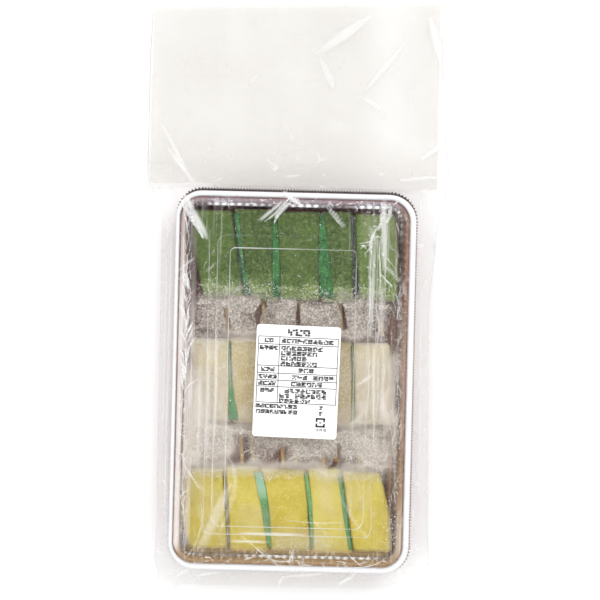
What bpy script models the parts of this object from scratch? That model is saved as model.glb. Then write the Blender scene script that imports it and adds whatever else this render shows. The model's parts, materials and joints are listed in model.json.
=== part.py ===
"""A clear bag that holds a lidded tray of fifteen wheat gluten skewers.

Three rows of five soft blocks lie on the tray's floor: green, white and yellow. Each block has a bamboo
stick in its inner end, and thin green films stand between some of them. A stepped clear lid covers the tray,
the bag wraps both, and its empty tail is folded once under itself. A plain label lies on the bag.

Sizes are in millimetres about the tray's centre until MM turns them into metres. The origin of the finished
pack is the middle of its footprint, on the surface that it lies on. +Y runs towards the tail and +Z is up.
"""
import math

import bmesh
import bpy
from mathutils import Vector

MM = 0.001
GAP = 0.3                     # clearance kept between neighbouring solids

# Bag film and where its edges lie
FILM = 0.4
LAYER_GAP = 0.3               # air between the two films of the empty tail
TAIL_LEFT, TAIL_RIGHT = -88.0, 84.0
TAIL_RIGHT_LOW = 89.9         # the tail widens towards the tray on the right
BODY_LEFT, BODY_RIGHT = -78.4, 81.0
TAIL_TOP_LEFT, TAIL_TOP_RIGHT = 217.0, 223.4
TAIL_CORNER = 5.0
# Y, rise over the flat tail, and right edge of each ring where the film comes down from the tray
TAIL_SLOPE = ((119.0, 11.0, 89.5), (128.0, 3.4, 88.0), (142.0, 0.6, 87.0))
FLAT_FROM = TAIL_SLOPE[-1][0]
FLAP_END = 116.0              # the folded flap comes back to here, under the tail
SEAM_Y = -121.7
LEFT_FIN = (-69.0, -129.0)
RIGHT_FIN = (87.0, -124.6)

# Tray: the bead line is the middle of the rim's bright band
BEAD_HALF_X, BEAD_HALF_Y, BEAD_RADIUS = 67.7, 107.3, 14.0
FLANGE_OUT = 2.4              # flange edge outside the bead line, before its teeth
TOOTH = 0.5                   # depth of the serrated edge
FLUTE = 0.9                   # depth of the fluted wall
TEETH_X, TEETH_Y, TEETH_CORNER = 16, 28, 3
TRAY_WALL = 0.8
TRAY_BASE = FILM + GAP
FLANGE_Z = 20.2
WALL_TOP_IN, WALL_FOOT_IN, FOOT_SLOPE = 4.6, 6.8, 1.5

# Lid
LID_SHEET = 0.6
LID_SEAT = FLANGE_Z + TRAY_WALL + GAP
BEAD_RISE = 2.0
LID_PROFILE = (               # inset from the bead line, height of the sheet's underside over its seat
    (-1.6, 0.0), (-1.1, 1.4), (0.0, BEAD_RISE), (1.1, 1.4), (1.8, 0.0), (17.6, 0.2), (19.8, 2.1), (23.6, 2.4),
    (25.2, 4.0), (30.2, 4.3), (32.0, 6.0),
)

# Bag over the lid
SEAM_RISE, SEAM_INSIDE = 1.4, 2.2      # from the seam to the first ring outside and inside
FIN_WIDTH_LEFT, FIN_WIDTH_RIGHT = 6.5, 12.0
RIM_X, RIM_Y = BEAD_HALF_X + 4.5, BEAD_HALF_Y + 4.5
SHOULDER_IN = 6.2             # from the rim of the film to where it leaves for the lid's plateau
RIM_TOP = LID_SEAT + BEAD_RISE + LID_SHEET + GAP + FILM + 0.1
LID_TOP = LID_SEAT + LID_PROFILE[-1][1] + LID_SHEET
CROWN_TOP = LID_TOP + GAP + FILM
CROWN_X, CROWN_Y = BEAD_HALF_X - 31.0, BEAD_HALF_Y - 31.0

# Label
LABEL_X, LABEL_Y, LABEL_RADIUS = 48.0, 64.0, 1.7
LABEL_CENTRE = (2.8, 0.6)
LABEL_TURN = math.radians(-1.2)
LABEL_THICK = 0.25

# Food: each row's block ends, and the lines between its blocks at the outer end and at the stick's end
BLOCK_FLOOR = TRAY_BASE + TRAY_WALL + 0.4
BLOCK_THICK = 14.0
BLOCK_GAP = 1.1
BLOCK_ROUND = 2.0
STICK_RADIUS = 1.3
STICK_IN = 24.0               # how far a stick runs into its block
STICK_Z = BLOCK_FLOOR + BLOCK_THICK / 2
ROWS = {
    "green": {
        "outer_y": 98.8, "stick_y": 46.6, "stick_end_y": 27.4,
        "outer_x": (-59.8, -36.2, -12.2, 14.4, 33.2, 57.4),
        "stick_x": (-52.4, -28.2, -8.4, 15.6, 37.6, 60.6),
        "colour": (0.150, 0.200, 0.075),
    },
    "white": {
        "outer_y": 24.2, "stick_y": -24.8, "stick_end_y": -48.2,
        "outer_x": (-60.0, -37.0, -13.6, 11.2, 34.6, 56.4),
        "stick_x": (-55.6, -34.4, -11.8, 13.8, 36.8, 60.6),
        "colour": (0.620, 0.540, 0.380),
    },
    "yellow": {
        "outer_y": -98.6, "stick_y": -50.6, "stick_end_y": -27.2,
        "outer_x": (-57.0, -34.2, -10.6, 14.0, 37.6, 60.6),
        "stick_x": (-60.6, -38.2, -17.4, 9.6, 29.6, 52.4),
        "colour": (0.680, 0.560, 0.150),
    },
}
END_SHIFT = (0.6, -0.4, 0.2, -0.5, 0.5)      # uneven block ends along a row
STICK_LEAN = {"green": 3.4, "white": 2.2, "yellow": -1.6}
BODY_STATIONS = (             # Y, left fold, right fold, and whether the ring passes over the plateau
    (-RIM_Y, BODY_LEFT, BODY_RIGHT + 2.0, False),
    (-RIM_Y + SHOULDER_IN, BODY_LEFT + 0.4, BODY_RIGHT + 1.2, False),
    (-CROWN_Y, BODY_LEFT + 0.6, BODY_RIGHT + 0.4, True), (-CROWN_Y / 3, BODY_LEFT, BODY_RIGHT, True),
    (CROWN_Y / 3, BODY_LEFT - 0.2, BODY_RIGHT - 1.0, True), (CROWN_Y, BODY_LEFT - 0.2, BODY_RIGHT + 1.6, True),
    (RIM_Y - SHOULDER_IN, TAIL_LEFT + 4.0, TAIL_RIGHT_LOW - 4.0, False),
    (RIM_Y, TAIL_LEFT + 0.6, TAIL_RIGHT_LOW - 0.6, False),
)

# Film dividers: row, line between blocks, and the flap's reach left and right of the web at three places
DIVIDERS = (
    ("green", 1, ((0.3, 3.0), (0.6, 2.2), (0.3, 3.8))), ("green", 2, ((1.0, 0.3), (2.6, 1.2), (4.0, 0.3))),
    ("green", 3, ((0.3, 1.6), (1.2, 4.7), (0.6, 7.6))), ("green", 4, ((1.4, 1.0), (2.0, 0.3), (3.6, 0.3))),
    ("white", 1, ((0.3, 0.5), (0.6, 0.9), (1.8, 4.4))), ("white", 4, ((0.5, 0.3), (0.9, 0.4), (1.8, 0.5))),
    ("yellow", 1, ((0.3, 0.9), (0.3, 2.8), (0.3, 1.2))), ("yellow", 2, ((0.4, 0.8), (1.7, 2.7), (3.6, 1.2))),
    ("yellow", 3, ((0.3, 0.4), (0.3, 2.4), (1.5, 0.9))), ("yellow", 4, ((4.0, 0.3), (4.2, 0.3), (4.0, 0.3))),
)
DIVIDER_SHARES = (0.04, 0.5, 0.96)
DIVIDER_THICK = 0.3


def loft(name, rings, strip_caps=False):
    """Closed mesh object through rings of equal point count, in order.

    A ring's end is closed by one face, or with strip_caps by quads between its two facing halves.
    """
    mesh_data = bmesh.new()
    loops = [[mesh_data.verts.new(Vector(point) * MM) for point in ring] for ring in rings]
    count = len(loops[0])
    for ring_a, ring_b in zip(loops, loops[1:]):
        for i in range(count):
            j = (i + 1) % count
            mesh_data.faces.new((ring_a[i], ring_a[j], ring_b[j], ring_b[i]))
    for loop in (loops[0], loops[-1]):
        if strip_caps:
            for i in range(count // 2 - 1):
                mesh_data.faces.new((loop[i], loop[i + 1], loop[count - 2 - i], loop[count - 1 - i]))
        else:
            mesh_data.faces.new(loop)
    bmesh.ops.recalc_face_normals(mesh_data, faces=mesh_data.faces)
    mesh = bpy.data.meshes.new(name)
    mesh_data.to_mesh(mesh)
    mesh_data.free()
    return bpy.data.objects.new(name, mesh)


def material(name, colour, roughness, alpha=1.0, metallic=0.0):
    """Principled material with a plain colour, given as linear values."""
    made = bpy.data.materials.new(name)
    made.use_nodes = True
    shader = made.node_tree.nodes["Principled BSDF"]
    shader.inputs["Base Color"].default_value = (*colour, 1.0)
    shader.inputs["Roughness"].default_value = roughness
    shader.inputs["Metallic"].default_value = metallic
    shader.inputs["Alpha"].default_value = alpha
    made.diffuse_color = (*colour, alpha)
    return made


def add(obj, finish, parent, smooth_angle=None):
    """Put an object in the scene on the pack's empty and give it its finish."""
    obj.data.materials.append(finish)
    obj.parent = parent
    bpy.context.scene.collection.objects.link(obj)
    if smooth_angle is not None:
        obj.data.shade_smooth()
        obj.data.set_sharp_from_angle(angle=math.radians(smooth_angle))
    return obj


def outline(inset, z, sides, wave=0.0):
    """Rounded rectangle parallel to the bead line, with steps along each side and corner.

    sides gives the steps along X, along Y and round a corner. wave pushes every other point outwards.
    """
    steps_x, steps_y, steps_corner = sides
    radius = max(BEAD_RADIUS - inset, 2.5)
    half_x, half_y = BEAD_HALF_X - inset, BEAD_HALF_Y - inset
    points = []
    for quarter in range(4):
        turn = quarter * math.pi / 2
        along_x = quarter % 2 == 1
        steps = steps_x if along_x else steps_y
        run = (half_x if along_x else half_y) - radius
        reach = half_y if along_x else half_x
        for i in range(steps):
            offset = -run + 2 * run * i / steps
            points.append((reach, offset, turn, 0.0))
        for i in range(steps_corner):
            angle = math.pi / 2 * i / steps_corner
            points.append((reach - radius, run, turn, (radius, angle)))
    ring = []
    for i, (reach, offset, turn, bend) in enumerate(points):
        push = wave if i % 2 else 0.0
        if bend:
            radius_here, angle = bend[0] + push, bend[1]
            u, v = reach + radius_here * math.cos(angle), offset + radius_here * math.sin(angle)
        else:
            u, v = reach + push, offset
        ring.append((u * math.cos(turn) - v * math.sin(turn), u * math.sin(turn) + v * math.cos(turn), z))
    return ring


def raised(profile, thickness):
    """A profile's line moved up by a thickness at right angles to itself, its ends straight up."""
    moved = []
    for i, (inset, rise) in enumerate(profile):
        before = profile[max(i - 1, 0)]
        after = profile[min(i + 1, len(profile) - 1)]
        across, up = after[0] - before[0], after[1] - before[1]
        if i in (0, len(profile) - 1):
            across, up = 1.0, 0.0
        length = math.hypot(across, up)
        moved.append((inset - up / length * thickness, rise + across / length * thickness))
    return moved


def make_tray(parent, finish):
    """Fluted tray with a flat flange whose edge is serrated."""
    sides = (TEETH_X * 2, TEETH_Y * 2, TEETH_CORNER * 2)
    top = FLANGE_Z + TRAY_WALL
    floor = TRAY_BASE + TRAY_WALL
    rings = [
        outline(WALL_FOOT_IN + FOOT_SLOPE, TRAY_BASE, sides),
        outline(WALL_FOOT_IN - TRAY_WALL, TRAY_BASE + 3.0, sides, FLUTE),
        outline(WALL_TOP_IN - TRAY_WALL, FLANGE_Z, sides, FLUTE),
        outline(-FLANGE_OUT, FLANGE_Z - 0.5, sides, TOOTH),
        outline(-FLANGE_OUT, top - 0.3, sides, TOOTH),
        outline(-FLANGE_OUT + 0.8, top, sides),
        outline(WALL_TOP_IN, top, sides, FLUTE),
        outline(WALL_FOOT_IN, floor + 3.0, sides, FLUTE),
        outline(WALL_FOOT_IN + FOOT_SLOPE, floor, sides),
    ]
    return add(loft("tray", rings), finish, parent, smooth_angle=25)


def make_lid(parent, finish):
    """Thin lid: a raised bead round the rim, then three steps up to a flat plateau."""
    sides = (1, 1, 6)
    under = [outline(inset, LID_SEAT + rise, sides) for inset, rise in LID_PROFILE]
    over = [outline(inset, LID_SEAT + rise, sides) for inset, rise in raised(LID_PROFILE, LID_SHEET)]
    return add(loft("lid", under[::-1] + over), finish, parent, smooth_angle=35)


def block_line(row, line, share):
    """X of the line between two blocks, from the outer end (0) to the stick's end (1)."""
    start, end = row["outer_x"][line], row["stick_x"][line]
    return start + (end - start) * share


def block_section(row, index, y, pull, height_in):
    """Rounded section of one block at a Y, with its sides and its top and bottom pulled in."""
    share = (y - row["outer_y"]) / (row["stick_y"] - row["outer_y"])
    left = block_line(row, index, share) + BLOCK_GAP / 2 + pull
    right = block_line(row, index + 1, share) - BLOCK_GAP / 2 - pull
    low, high = BLOCK_FLOOR + height_in, BLOCK_FLOOR + BLOCK_THICK - height_in
    section = []
    for x, z, start in ((right, high, 0), (left, high, 1), (left, low, 2), (right, low, 3)):
        sign_x, sign_z = (1 if x == right else -1), (1 if z == high else -1)
        for i in range(3):
            angle = (start + i / 2) * math.pi / 2
            section.append((
                x - sign_x * BLOCK_ROUND + BLOCK_ROUND * math.cos(angle), y,
                z - sign_z * BLOCK_ROUND + BLOCK_ROUND * math.sin(angle),
            ))
    return section


def stick_section(centre, radius, sides, start=0.0):
    """Upright ring of points round a stick's line at a Y."""
    x, y = centre
    angles = [start + i * math.tau / sides for i in range(sides)]
    return [(x + radius * math.cos(angle), y, STICK_Z + radius * math.sin(angle)) for angle in angles]


def stick_place(row, index):
    """X of a stick where it leaves its block, and which way along Y it points."""
    x = (row["stick_x"][index] + row["stick_x"][index + 1]) / 2
    return x, math.copysign(1.0, row["stick_end_y"] - row["stick_y"])


def make_block(parent, finish, row_name, index):
    """Soft rounded block with a blind bore for its stick."""
    row = ROWS[row_name]
    x, direction = stick_place(row, index)
    end_y = row["stick_y"] - direction * END_SHIFT[index]
    far_y = row["outer_y"] + direction * END_SHIFT[-1 - index]
    bore = STICK_RADIUS + GAP
    bore_end = end_y - direction * (STICK_IN + 0.5)
    lean = STICK_LEAN[row_name] / STICK_IN
    first_angle = math.pi / 12
    rings = [
        stick_section((x - lean * (STICK_IN + 0.5), bore_end), bore, 12, first_angle),
        stick_section((x, end_y), bore, 12, first_angle),
        block_section(row, index, end_y, 1.2, 1.2),
        block_section(row, index, end_y - direction * 1.8, 0.0, 0.0),
        block_section(row, index, far_y + direction * 1.8, 0.0, 0.0),
        block_section(row, index, far_y, 1.2, 1.2),
    ]
    return add(loft(f"{row_name}_block_{index + 1}", rings), finish, parent, smooth_angle=50)


def make_stick(parent, finish, row_name, index):
    """Bamboo stick, bluntly pointed, from inside its block to just short of the next row."""
    row = ROWS[row_name]
    x, direction = stick_place(row, index)
    block_end = row["stick_y"] - direction * END_SHIFT[index]
    lean = STICK_LEAN[row_name] / STICK_IN
    start_y = block_end - direction * STICK_IN
    end_y = row["stick_end_y"] - direction * 1.5 * (index % 2)
    point_y = end_y - direction * 3.0

    def centre(y):
        """Middle of the stick at a Y on its slanted line."""
        return (x + lean * (y - block_end) * direction, y)

    rings = [
        stick_section(centre(start_y), STICK_RADIUS, 8),
        stick_section(centre(point_y), STICK_RADIUS, 8),
        stick_section(centre(end_y), STICK_RADIUS * 0.55, 8),
    ]
    return add(loft(f"{row_name}_stick_{index + 1}", rings), finish, parent, smooth_angle=50)


def make_divider(parent, finish, row_name, line, widths):
    """Film divider: an upright web in the gap between two blocks and a flap that lies over their edges.

    The widths are how far the flap reaches left and right of the web, at three places along it.
    """
    row = ROWS[row_name]
    base = BLOCK_FLOOR + 0.2
    top = BLOCK_FLOOR + BLOCK_THICK + GAP
    half = DIVIDER_THICK / 2
    rings = []
    for share, (left, right) in zip(DIVIDER_SHARES, widths):
        x = block_line(row, line, share)
        y = row["outer_y"] + (row["stick_y"] - row["outer_y"]) * share
        profile = (
            (x + half, base), (x + half, top), (x + right, top), (x + right, top + DIVIDER_THICK),
            (x - left, top + DIVIDER_THICK), (x - left, top), (x - half, top), (x - half, base),
        )
        rings.append([(px, y, pz) for px, pz in profile])
    return add(loft(f"{row_name}_divider_{line}", rings), finish, parent)


def make_label(parent, finish):
    """Thin label with rounded corners, lying on the bag over the lid's plateau."""
    corner = 5
    base = []
    for quarter in range(4):
        sign_x = 1 if quarter in (0, 3) else -1
        sign_y = 1 if quarter in (0, 1) else -1
        for i in range(corner + 1):
            angle = (quarter + i / corner) * math.pi / 2
            base.append((
                sign_x * (LABEL_X / 2 - LABEL_RADIUS) + LABEL_RADIUS * math.cos(angle),
                sign_y * (LABEL_Y / 2 - LABEL_RADIUS) + LABEL_RADIUS * math.sin(angle),
            ))
    low = CROWN_TOP + GAP
    rings = [[(x, y, z) for x, y in base] for z in (low, low + LABEL_THICK)]
    label = add(loft("label", rings), finish, parent)
    label.location = (LABEL_CENTRE[0] * MM, LABEL_CENTRE[1] * MM, 0)
    label.rotation_euler = (0, 0, LABEL_TURN)
    return label


def bag_section(columns, ys, tops, low):
    """Ring round the bag at one station: the upper film left to right, then the lower film back."""
    upper = list(zip(columns, ys, tops))
    lower = [(x, y, low) for x, y in zip(columns, ys)]
    return upper + lower[::-1]


def bag_columns(left, right):
    """X of the bag's lengthwise lines: the two folds, the rim, the shoulders and the plateau between them."""
    shoulder = RIM_X - SHOULDER_IN
    middle = (-RIM_X, -shoulder, -CROWN_X, -CROWN_X / 3, CROWN_X / 3, CROWN_X, shoulder, RIM_X)
    return [left, *middle, right]


def bag_stations(inside):
    """Rings from the bottom seam, over the tray, along the tail and round its fold to the open end.

    The inner skin is the same walk, pulled in by the film's thickness.
    """
    skin = FILM if inside else 0.0
    low = skin
    fold_top = FILM * 2 + LAYER_GAP - skin
    rim = RIM_TOP - skin
    crown = CROWN_TOP - skin

    def station(y, left, right, rim_z, crown_z):
        """One ring over the tray, level across its rim and raised over the plateau."""
        columns = bag_columns(left + skin, right - skin)
        columns[1] += skin
        columns[-2] -= skin
        tops = [fold_top, rim_z, rim_z, crown_z, crown_z, crown_z, crown_z, rim_z, rim_z, fold_top]
        return bag_section(columns, [y] * len(columns), tops, low)

    rings = []
    if inside:
        rings.append(station(SEAM_Y + SEAM_INSIDE, BODY_LEFT + 1.6, BODY_RIGHT + 2.4, fold_top, fold_top))
    else:
        rings.append(seam_ring(fold_top, low))
        rings.append(station(SEAM_Y + SEAM_RISE, BODY_LEFT + 1.0, BODY_RIGHT + 3.2, fold_top, fold_top))
    for y, left, right, over_plateau in BODY_STATIONS:
        if abs(y) == RIM_Y:
            y -= math.copysign(skin, y)
        rings.append(station(y, left, right, rim, crown if over_plateau else rim))
    rings += tail_rings(skin)
    return rings


def seam_ring(fold_top, low):
    """Outermost ring, along the bottom seam, drawn out to a pointed fin at each corner."""
    columns = bag_columns(BODY_LEFT + 3.0, RIGHT_FIN[0] + 1.2)
    columns[1:3] = [LEFT_FIN[0], LEFT_FIN[0] + FIN_WIDTH_LEFT]
    columns[-3:-1] = [RIGHT_FIN[0] - FIN_WIDTH_RIGHT, RIGHT_FIN[0] - 1.5]
    ys = [SEAM_Y] * len(columns)
    ys[0] -= 1.5
    ys[1] = LEFT_FIN[1]
    ys[-2] = RIGHT_FIN[1]
    return bag_section(columns, ys, [fold_top] * len(columns), low)


def tail_rings(skin):
    """Rings down from the tray's end, along the flat tail, round the fold and back under it."""
    rings = []
    layer = FILM * 2 + LAYER_GAP
    tail_low = layer + GAP
    for y, rise, right in TAIL_SLOPE:
        columns = bag_columns(TAIL_LEFT + skin, right - skin)
        tops = [tail_low + layer - skin + rise * (0.12 if i in (0, 9) else 1.0) for i in range(10)]
        rings.append(bag_section(columns, [y] * 10, tops, tail_low + skin))
    columns = bag_columns(TAIL_LEFT + skin, TAIL_RIGHT - skin)
    columns[1] = TAIL_LEFT + TAIL_CORNER
    for share in (0.55, 0.96):
        ys = [FLAT_FROM + (top_edge(x) - FLAT_FROM) * share for x in columns]
        rings.append(bag_section(columns, ys, [tail_low + layer - skin] * 10, tail_low + skin))
    rings += fold_rings(columns, tail_low, layer, skin)
    flap_columns = bag_columns(TAIL_LEFT + 1.0 + skin, TAIL_RIGHT_LOW - 2.0 - skin)
    rings.append(bag_section(flap_columns, [FLAP_END] * 10, [skin] * 10, layer - skin))
    return rings


def top_edge(x):
    """Y of the tail's folded top edge, which slopes a little and rounds off at the left."""
    share = (x - TAIL_LEFT) / (TAIL_RIGHT - TAIL_LEFT)
    rounded = TAIL_CORNER if x < TAIL_LEFT + 1.0 else 0.0
    return TAIL_TOP_LEFT + (TAIL_TOP_RIGHT - TAIL_TOP_LEFT) * share - rounded


def fold_rings(columns, tail_low, layer, skin):
    """Half turn of the flattened tail about its top edge, outer film outside."""
    pivot_z = tail_low - GAP / 2
    outer, inner = layer + GAP / 2, GAP / 2
    rings = []
    for i in (1, 2, 3):
        angle = i * math.pi / 4
        reach_out, reach_in = outer - skin, inner + skin
        upper, lower = [], []
        for x in columns:
            edge = top_edge(x) - outer
            upper.append((x, edge + reach_out * math.sin(angle), pivot_z + reach_out * math.cos(angle)))
            lower.append((x, edge + reach_in * math.sin(angle), pivot_z + reach_in * math.cos(angle)))
        rings.append(upper + lower[::-1])
    return rings


def make_bag(parent, finish):
    """Flat tube bag as one thin skin, sealed at the bottom, with its mouth left open under the tail."""
    outer = bag_stations(inside=False)
    inner = bag_stations(inside=True)
    return add(loft("bag", outer + inner[::-1], strip_caps=True), finish, parent, smooth_angle=40)


def main():
    """Build every piece on one empty that stands at the tray's centre."""
    for obj in list(bpy.data.objects):
        bpy.data.objects.remove(obj)

    pack = bpy.data.objects.new("pack", None)
    bpy.context.scene.collection.objects.link(pack)
    pack.location = (
        -(TAIL_LEFT + TAIL_RIGHT_LOW) / 2 * MM, -(LEFT_FIN[1] + TAIL_TOP_RIGHT) / 2 * MM, 0.0,
    )

    clear = material("clear_film", (0.80, 0.80, 0.78), 0.18, alpha=0.22)
    lid_plastic = material("clear_lid", (0.85, 0.86, 0.86), 0.08, alpha=0.30)
    tray_plastic = material("maroon_tray", (0.125, 0.062, 0.052), 0.30)
    bamboo = material("bamboo", (0.60, 0.42, 0.20), 0.55)
    divider_film = material("green_film", (0.045, 0.260, 0.075), 0.25)
    paper = material("label_paper", (0.90, 0.90, 0.90), 0.45)

    make_tray(pack, tray_plastic)
    make_lid(pack, lid_plastic)
    for row_name, row in ROWS.items():
        food = material(f"{row_name}_gluten", row["colour"], 0.60)
        for index in range(5):
            make_block(pack, food, row_name, index)
            make_stick(pack, bamboo, row_name, index)
    for row_name, line, widths in DIVIDERS:
        make_divider(pack, divider_film, row_name, line, widths)
    make_bag(pack, clear)
    make_label(pack, paper)


main()
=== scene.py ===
import json
import logging
import math
from dataclasses import dataclass, field
from enum import Enum

import bmesh
import bpy
import numpy as np
from mathutils.bvhtree import BVHTree
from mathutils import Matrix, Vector

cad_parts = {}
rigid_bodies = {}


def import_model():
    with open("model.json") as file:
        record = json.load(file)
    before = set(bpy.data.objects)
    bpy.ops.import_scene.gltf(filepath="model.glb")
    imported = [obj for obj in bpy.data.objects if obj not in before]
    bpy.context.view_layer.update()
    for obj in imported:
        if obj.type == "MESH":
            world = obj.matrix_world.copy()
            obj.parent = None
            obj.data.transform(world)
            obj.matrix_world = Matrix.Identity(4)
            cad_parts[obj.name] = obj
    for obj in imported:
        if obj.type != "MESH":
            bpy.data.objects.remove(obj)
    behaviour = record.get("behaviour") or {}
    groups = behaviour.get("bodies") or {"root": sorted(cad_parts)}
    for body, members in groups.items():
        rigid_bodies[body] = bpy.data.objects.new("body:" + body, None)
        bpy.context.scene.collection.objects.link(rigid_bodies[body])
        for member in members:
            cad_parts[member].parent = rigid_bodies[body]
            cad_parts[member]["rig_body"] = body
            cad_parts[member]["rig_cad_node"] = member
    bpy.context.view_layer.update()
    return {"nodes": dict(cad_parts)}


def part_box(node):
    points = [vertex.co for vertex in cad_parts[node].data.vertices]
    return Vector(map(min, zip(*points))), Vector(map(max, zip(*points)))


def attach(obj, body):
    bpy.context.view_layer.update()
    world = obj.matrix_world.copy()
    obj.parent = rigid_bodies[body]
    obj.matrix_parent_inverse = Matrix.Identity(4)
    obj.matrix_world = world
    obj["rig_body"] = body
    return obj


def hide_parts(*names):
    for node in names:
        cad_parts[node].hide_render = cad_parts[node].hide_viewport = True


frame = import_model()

LOG = logging.getLogger("skewer_pack")
MM = 0.001
BODY = "root"
TRAY_LOW, TRAY_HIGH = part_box("tray")
BAG_LOW, BAG_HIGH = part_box("bag")
CENTRE = np.array([(TRAY_LOW.x + TRAY_HIGH.x) / 2, (TRAY_LOW.y + TRAY_HIGH.y) / 2, 0.0]) / MM

Colour = tuple[float, float, float]
Points = np.ndarray
Route = tuple[tuple[float, float], ...]

GREEN_GAP_Y, YELLOW_GAP_Y = 36.5, -37.5      # middles of the icy gaps beside the white row


# --------------------------------------------------------------------------- shapes in millimetres


def smooth_step(low: float, high: float, value: Points) -> Points:
    """Ease from 0 to 1 between two values.

    Args:
        low: value where the result leaves 0.
        high: value where the result reaches 1.
        value: numbers to ease.

    Returns:
        Numbers between 0 and 1.
    """
    share = np.clip((value - low) / (high - low), 0.0, 1.0)
    return share * share * (3.0 - 2.0 * share)


def lattice_noise(x: Points, y: Points, cell: float, seed: int) -> Points:
    """Smooth value noise on a square lattice.

    Args:
        x: first coordinates.
        y: second coordinates, of the same shape.
        cell: lattice spacing in the same unit.
        seed: seed of the lattice's values.

    Returns:
        Values between -1 and 1, of the same shape.
    """
    size = 257
    values = np.random.RandomState(seed).uniform(-1.0, 1.0, (size, size))
    u, v = np.asarray(x) / cell + 100.0, np.asarray(y) / cell + 100.0
    column, row = np.floor(u).astype(int), np.floor(v).astype(int)
    s, t = u - column, v - row
    s, t = s * s * (3.0 - 2.0 * s), t * t * (3.0 - 2.0 * t)
    column, row = column % (size - 1), row % (size - 1)
    near = values[row, column] * (1.0 - s) + values[row, column + 1] * s
    far = values[row + 1, column] * (1.0 - s) + values[row + 1, column + 1] * s
    return near * (1.0 - t) + far * t


def layered_noise(x: Points, y: Points, cell: float, seed: int, layers: int = 3) -> Points:
    """Sum of lattice noise at halving cells.

    Args:
        x: first coordinates.
        y: second coordinates.
        cell: the coarsest cell.
        seed: seed of the coarsest layer.
        layers: how many layers are added.

    Returns:
        Values of about -1 to 1.
    """
    total = np.zeros_like(np.asarray(x, dtype=float))
    weight = 0.0
    for layer in range(layers):
        share = 0.5 ** layer
        total += share * lattice_noise(x, y, cell * share, seed + layer)
        weight += share
    return total / weight


def ridge_distance(
    x: Points, y: Points, start: tuple[float, float], end: tuple[float, float]
) -> tuple[Points, Points]:
    """Distance from points to a straight crease, and how far along it they lie.

    Args:
        x: X of the points.
        y: Y of the points.
        start: first end of the crease.
        end: last end of the crease.

    Returns:
        Distances, and shares from 0 at the start to 1 at the end, clipped.
    """
    along = np.array(end) - np.array(start)
    share = ((x - start[0]) * along[0] + (y - start[1]) * along[1]) / float(along @ along)
    share = np.clip(share, 0.0, 1.0)
    return np.hypot(x - start[0] - share * along[0], y - start[1] - share * along[1]), share


def run_length(line: Points) -> Points:
    """Length along a line up to each of its points."""
    return np.concatenate([[0.0], np.cumsum(np.hypot(*np.diff(line, axis=0).T))])


def grid_faces(rows: int, columns: int, wrap: bool = False) -> list[tuple[int, int, int, int]]:
    """Quads of a grid whose points are listed row by row.

    Args:
        rows: number of rows.
        columns: points in a row.
        wrap: whether each row closes on itself.

    Returns:
        Index tuples, one for each quad.
    """
    last = columns if wrap else columns - 1
    return [
        (row * columns + i, row * columns + (i + 1) % columns,
         (row + 1) * columns + (i + 1) % columns, (row + 1) * columns + i)
        for row in range(rows - 1) for i in range(last)
    ]


def shell_faces(rows: int, around: int) -> list[tuple[int, ...]]:
    """Faces of a stack of closed rings, with a cap on its first and its last ring.

    Args:
        rows: number of rings.
        around: points in a ring.

    Returns:
        Index tuples.
    """
    first, last = range(around), range(rows * around - 1, (rows - 1) * around - 1, -1)
    return [*grid_faces(rows, around, wrap=True), tuple(first), tuple(last)]


def make_piece(name: str, points: Points, faces: list, smooth: bool = True) -> bpy.types.Object:
    """Make a mesh object from points about the tray's centre.

    Args:
        name: the piece's name.
        points: rows of X, Y, Z in millimetres about the tray's centre.
        faces: index tuples.
        smooth: whether faces are shaded smooth.

    Returns:
        The object, linked to the scene.
    """
    mesh = bpy.data.meshes.new(name)
    mesh.from_pydata(((np.asarray(points) + CENTRE) * MM).tolist(), [], faces)
    mesh.validate()
    if smooth:
        mesh.shade_smooth()
    piece = bpy.data.objects.new(name, mesh)
    bpy.context.scene.collection.objects.link(piece)
    return piece


def paint(piece: bpy.types.Object, name: str, values: Points) -> None:
    """Store one number for each point, which a material reads by name."""
    layer = piece.data.attributes.new(name, "FLOAT", "POINT")
    layer.data.foreach_set("value", np.asarray(values, dtype=np.float32).ravel())


def local_points(piece: bpy.types.Object) -> Points:
    """Points of a mesh in millimetres about the tray's centre."""
    flat = np.zeros(len(piece.data.vertices) * 3, np.float32)
    piece.data.vertices.foreach_get("co", flat)
    return flat.reshape(-1, 3).astype(float) / MM - CENTRE


def move_points(piece: bpy.types.Object, points: Points) -> None:
    """Write points in millimetres about the tray's centre back to a mesh."""
    piece.data.vertices.foreach_set("co", ((points + CENTRE) * MM).astype(np.float32).ravel())
    piece.data.update()


def dress(piece: bpy.types.Object, *materials: bpy.types.Material) -> bpy.types.Object:
    """Give a piece its materials, in slot order."""
    if piece.data.materials:
        piece.data.materials.clear()
    for material in materials:
        piece.data.materials.append(material)
    return piece


def settle(piece: bpy.types.Object, slot: str, *nodes: str) -> bpy.types.Object:
    """Put a finished piece on the pack's body.

    Args:
        piece: the finished piece.
        slot: the record's material slot, not used.
        nodes: the CAD nodes that it stands for.

    Returns:
        The same piece.
    """
    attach(piece, BODY)
    if nodes:
        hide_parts(*nodes)
    LOG.info("%s: %d faces for %s", piece.name, len(piece.data.polygons), ", ".join(nodes) or "no node")
    return piece


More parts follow.
